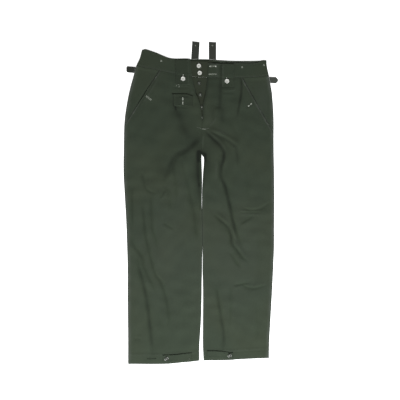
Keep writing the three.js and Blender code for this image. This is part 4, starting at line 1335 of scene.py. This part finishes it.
def button_threads(place, seat, size, thick, turn):
    """Two bars of three threads, each over a pair of holes on the button's dished middle."""
    apart, top = HOLE_APART * size / 2, seat + 0.62 * thick
    spin = np.array([[np.cos(turn), -np.sin(turn)], [np.sin(turn), np.cos(turn)]])
    begin = np.array([(-apart, side * apart + strand) for side in (-1, 1) for strand in (-0.5, 0, 0.5)])
    end = begin * [-1, 1]
    height = np.full((len(begin), 1), top)
    return [np.concatenate([ends @ spin.T + place, height], 1) for ends in (begin, end)]


for cotton, slot, group in ((pale_cotton, "button_white", "white"), (bright_cotton, "button_dark", "dark")):
    rows = [button_threads(place, button_seat(place, seat), size, thick, turn)
            for _, place, seat, (size, thick, _, at_slot), turn in BUTTONS if at_slot == slot]
    add_thread(f"{group}_button_threads", rows, cotton, radius=0.42, arch=1.2)


# ---------------------------------------------------------------- floor, light and camera
# The trousers lie on a plain pale floor, seen from straight above, and the light comes mostly
# from the hem end.

FLOOR_HALF = 12.0
FLOOR_Z = -0.0004
floor_mesh = bpy.data.meshes.new("floor")
floor_corners = [(x * FLOOR_HALF, y * FLOOR_HALF, FLOOR_Z) for x, y in ((-1, -1), (1, -1), (1, 1), (-1, 1))]
floor_mesh.from_pydata(floor_corners, [], [(0, 1, 2, 3)])
floor = bpy.data.objects.new("floor", floor_mesh)
bpy.context.collection.objects.link(floor)
paper = Finish("paper_white", Base_Color=(0.9, 0.9, 0.9, 1), Roughness=0.9, Emission_Color=(1, 1, 1, 1),
               Emission_Strength=0.85)
floor_mesh.materials.append(paper.material)

world = bpy.data.worlds.new("studio")
bpy.context.scene.world = world
world.use_nodes = True
world.node_tree.nodes["Background"].inputs["Color"].default_value = (1, 1, 1, 1)
world.node_tree.nodes["Background"].inputs["Strength"].default_value = 0.17


def add_light(name, place, aim, size, power, tint):
    """A square area light at a place, turned to an aim point, both in metres."""
    light = bpy.data.lights.new(name, "AREA")
    light.size = size
    light.energy = power
    light.color = tint
    lamp = bpy.data.objects.new(name, light)
    bpy.context.collection.objects.link(lamp)
    lamp.location = place
    lamp.rotation_euler = (Vector(aim) - Vector(place)).to_track_quat("-Z", "Y").to_euler()


add_light("hem_light", (0.15, -2.3, 1.9), (0, -0.2, 0), 0.7, 125, (0.96, 1.0, 0.99))
add_light("overhead_light", (-0.5, 0.5, 2.6), (0, 0.1, 0), 1.0, 10, (1.0, 0.99, 0.95))

VIEW_HEIGHT = 6.0
VIEW_WIDTH = 1.46
camera_data = bpy.data.cameras.new("camera")
camera_data.sensor_width = 36
camera_data.lens = camera_data.sensor_width * VIEW_HEIGHT / VIEW_WIDTH
camera = bpy.data.objects.new("camera", camera_data)
camera.location = (-0.0029, 0.0091, VIEW_HEIGHT)
bpy.context.collection.objects.link(camera)
bpy.context.scene.camera = camera
bpy.context.scene.view_settings.view_transform = "Standard"
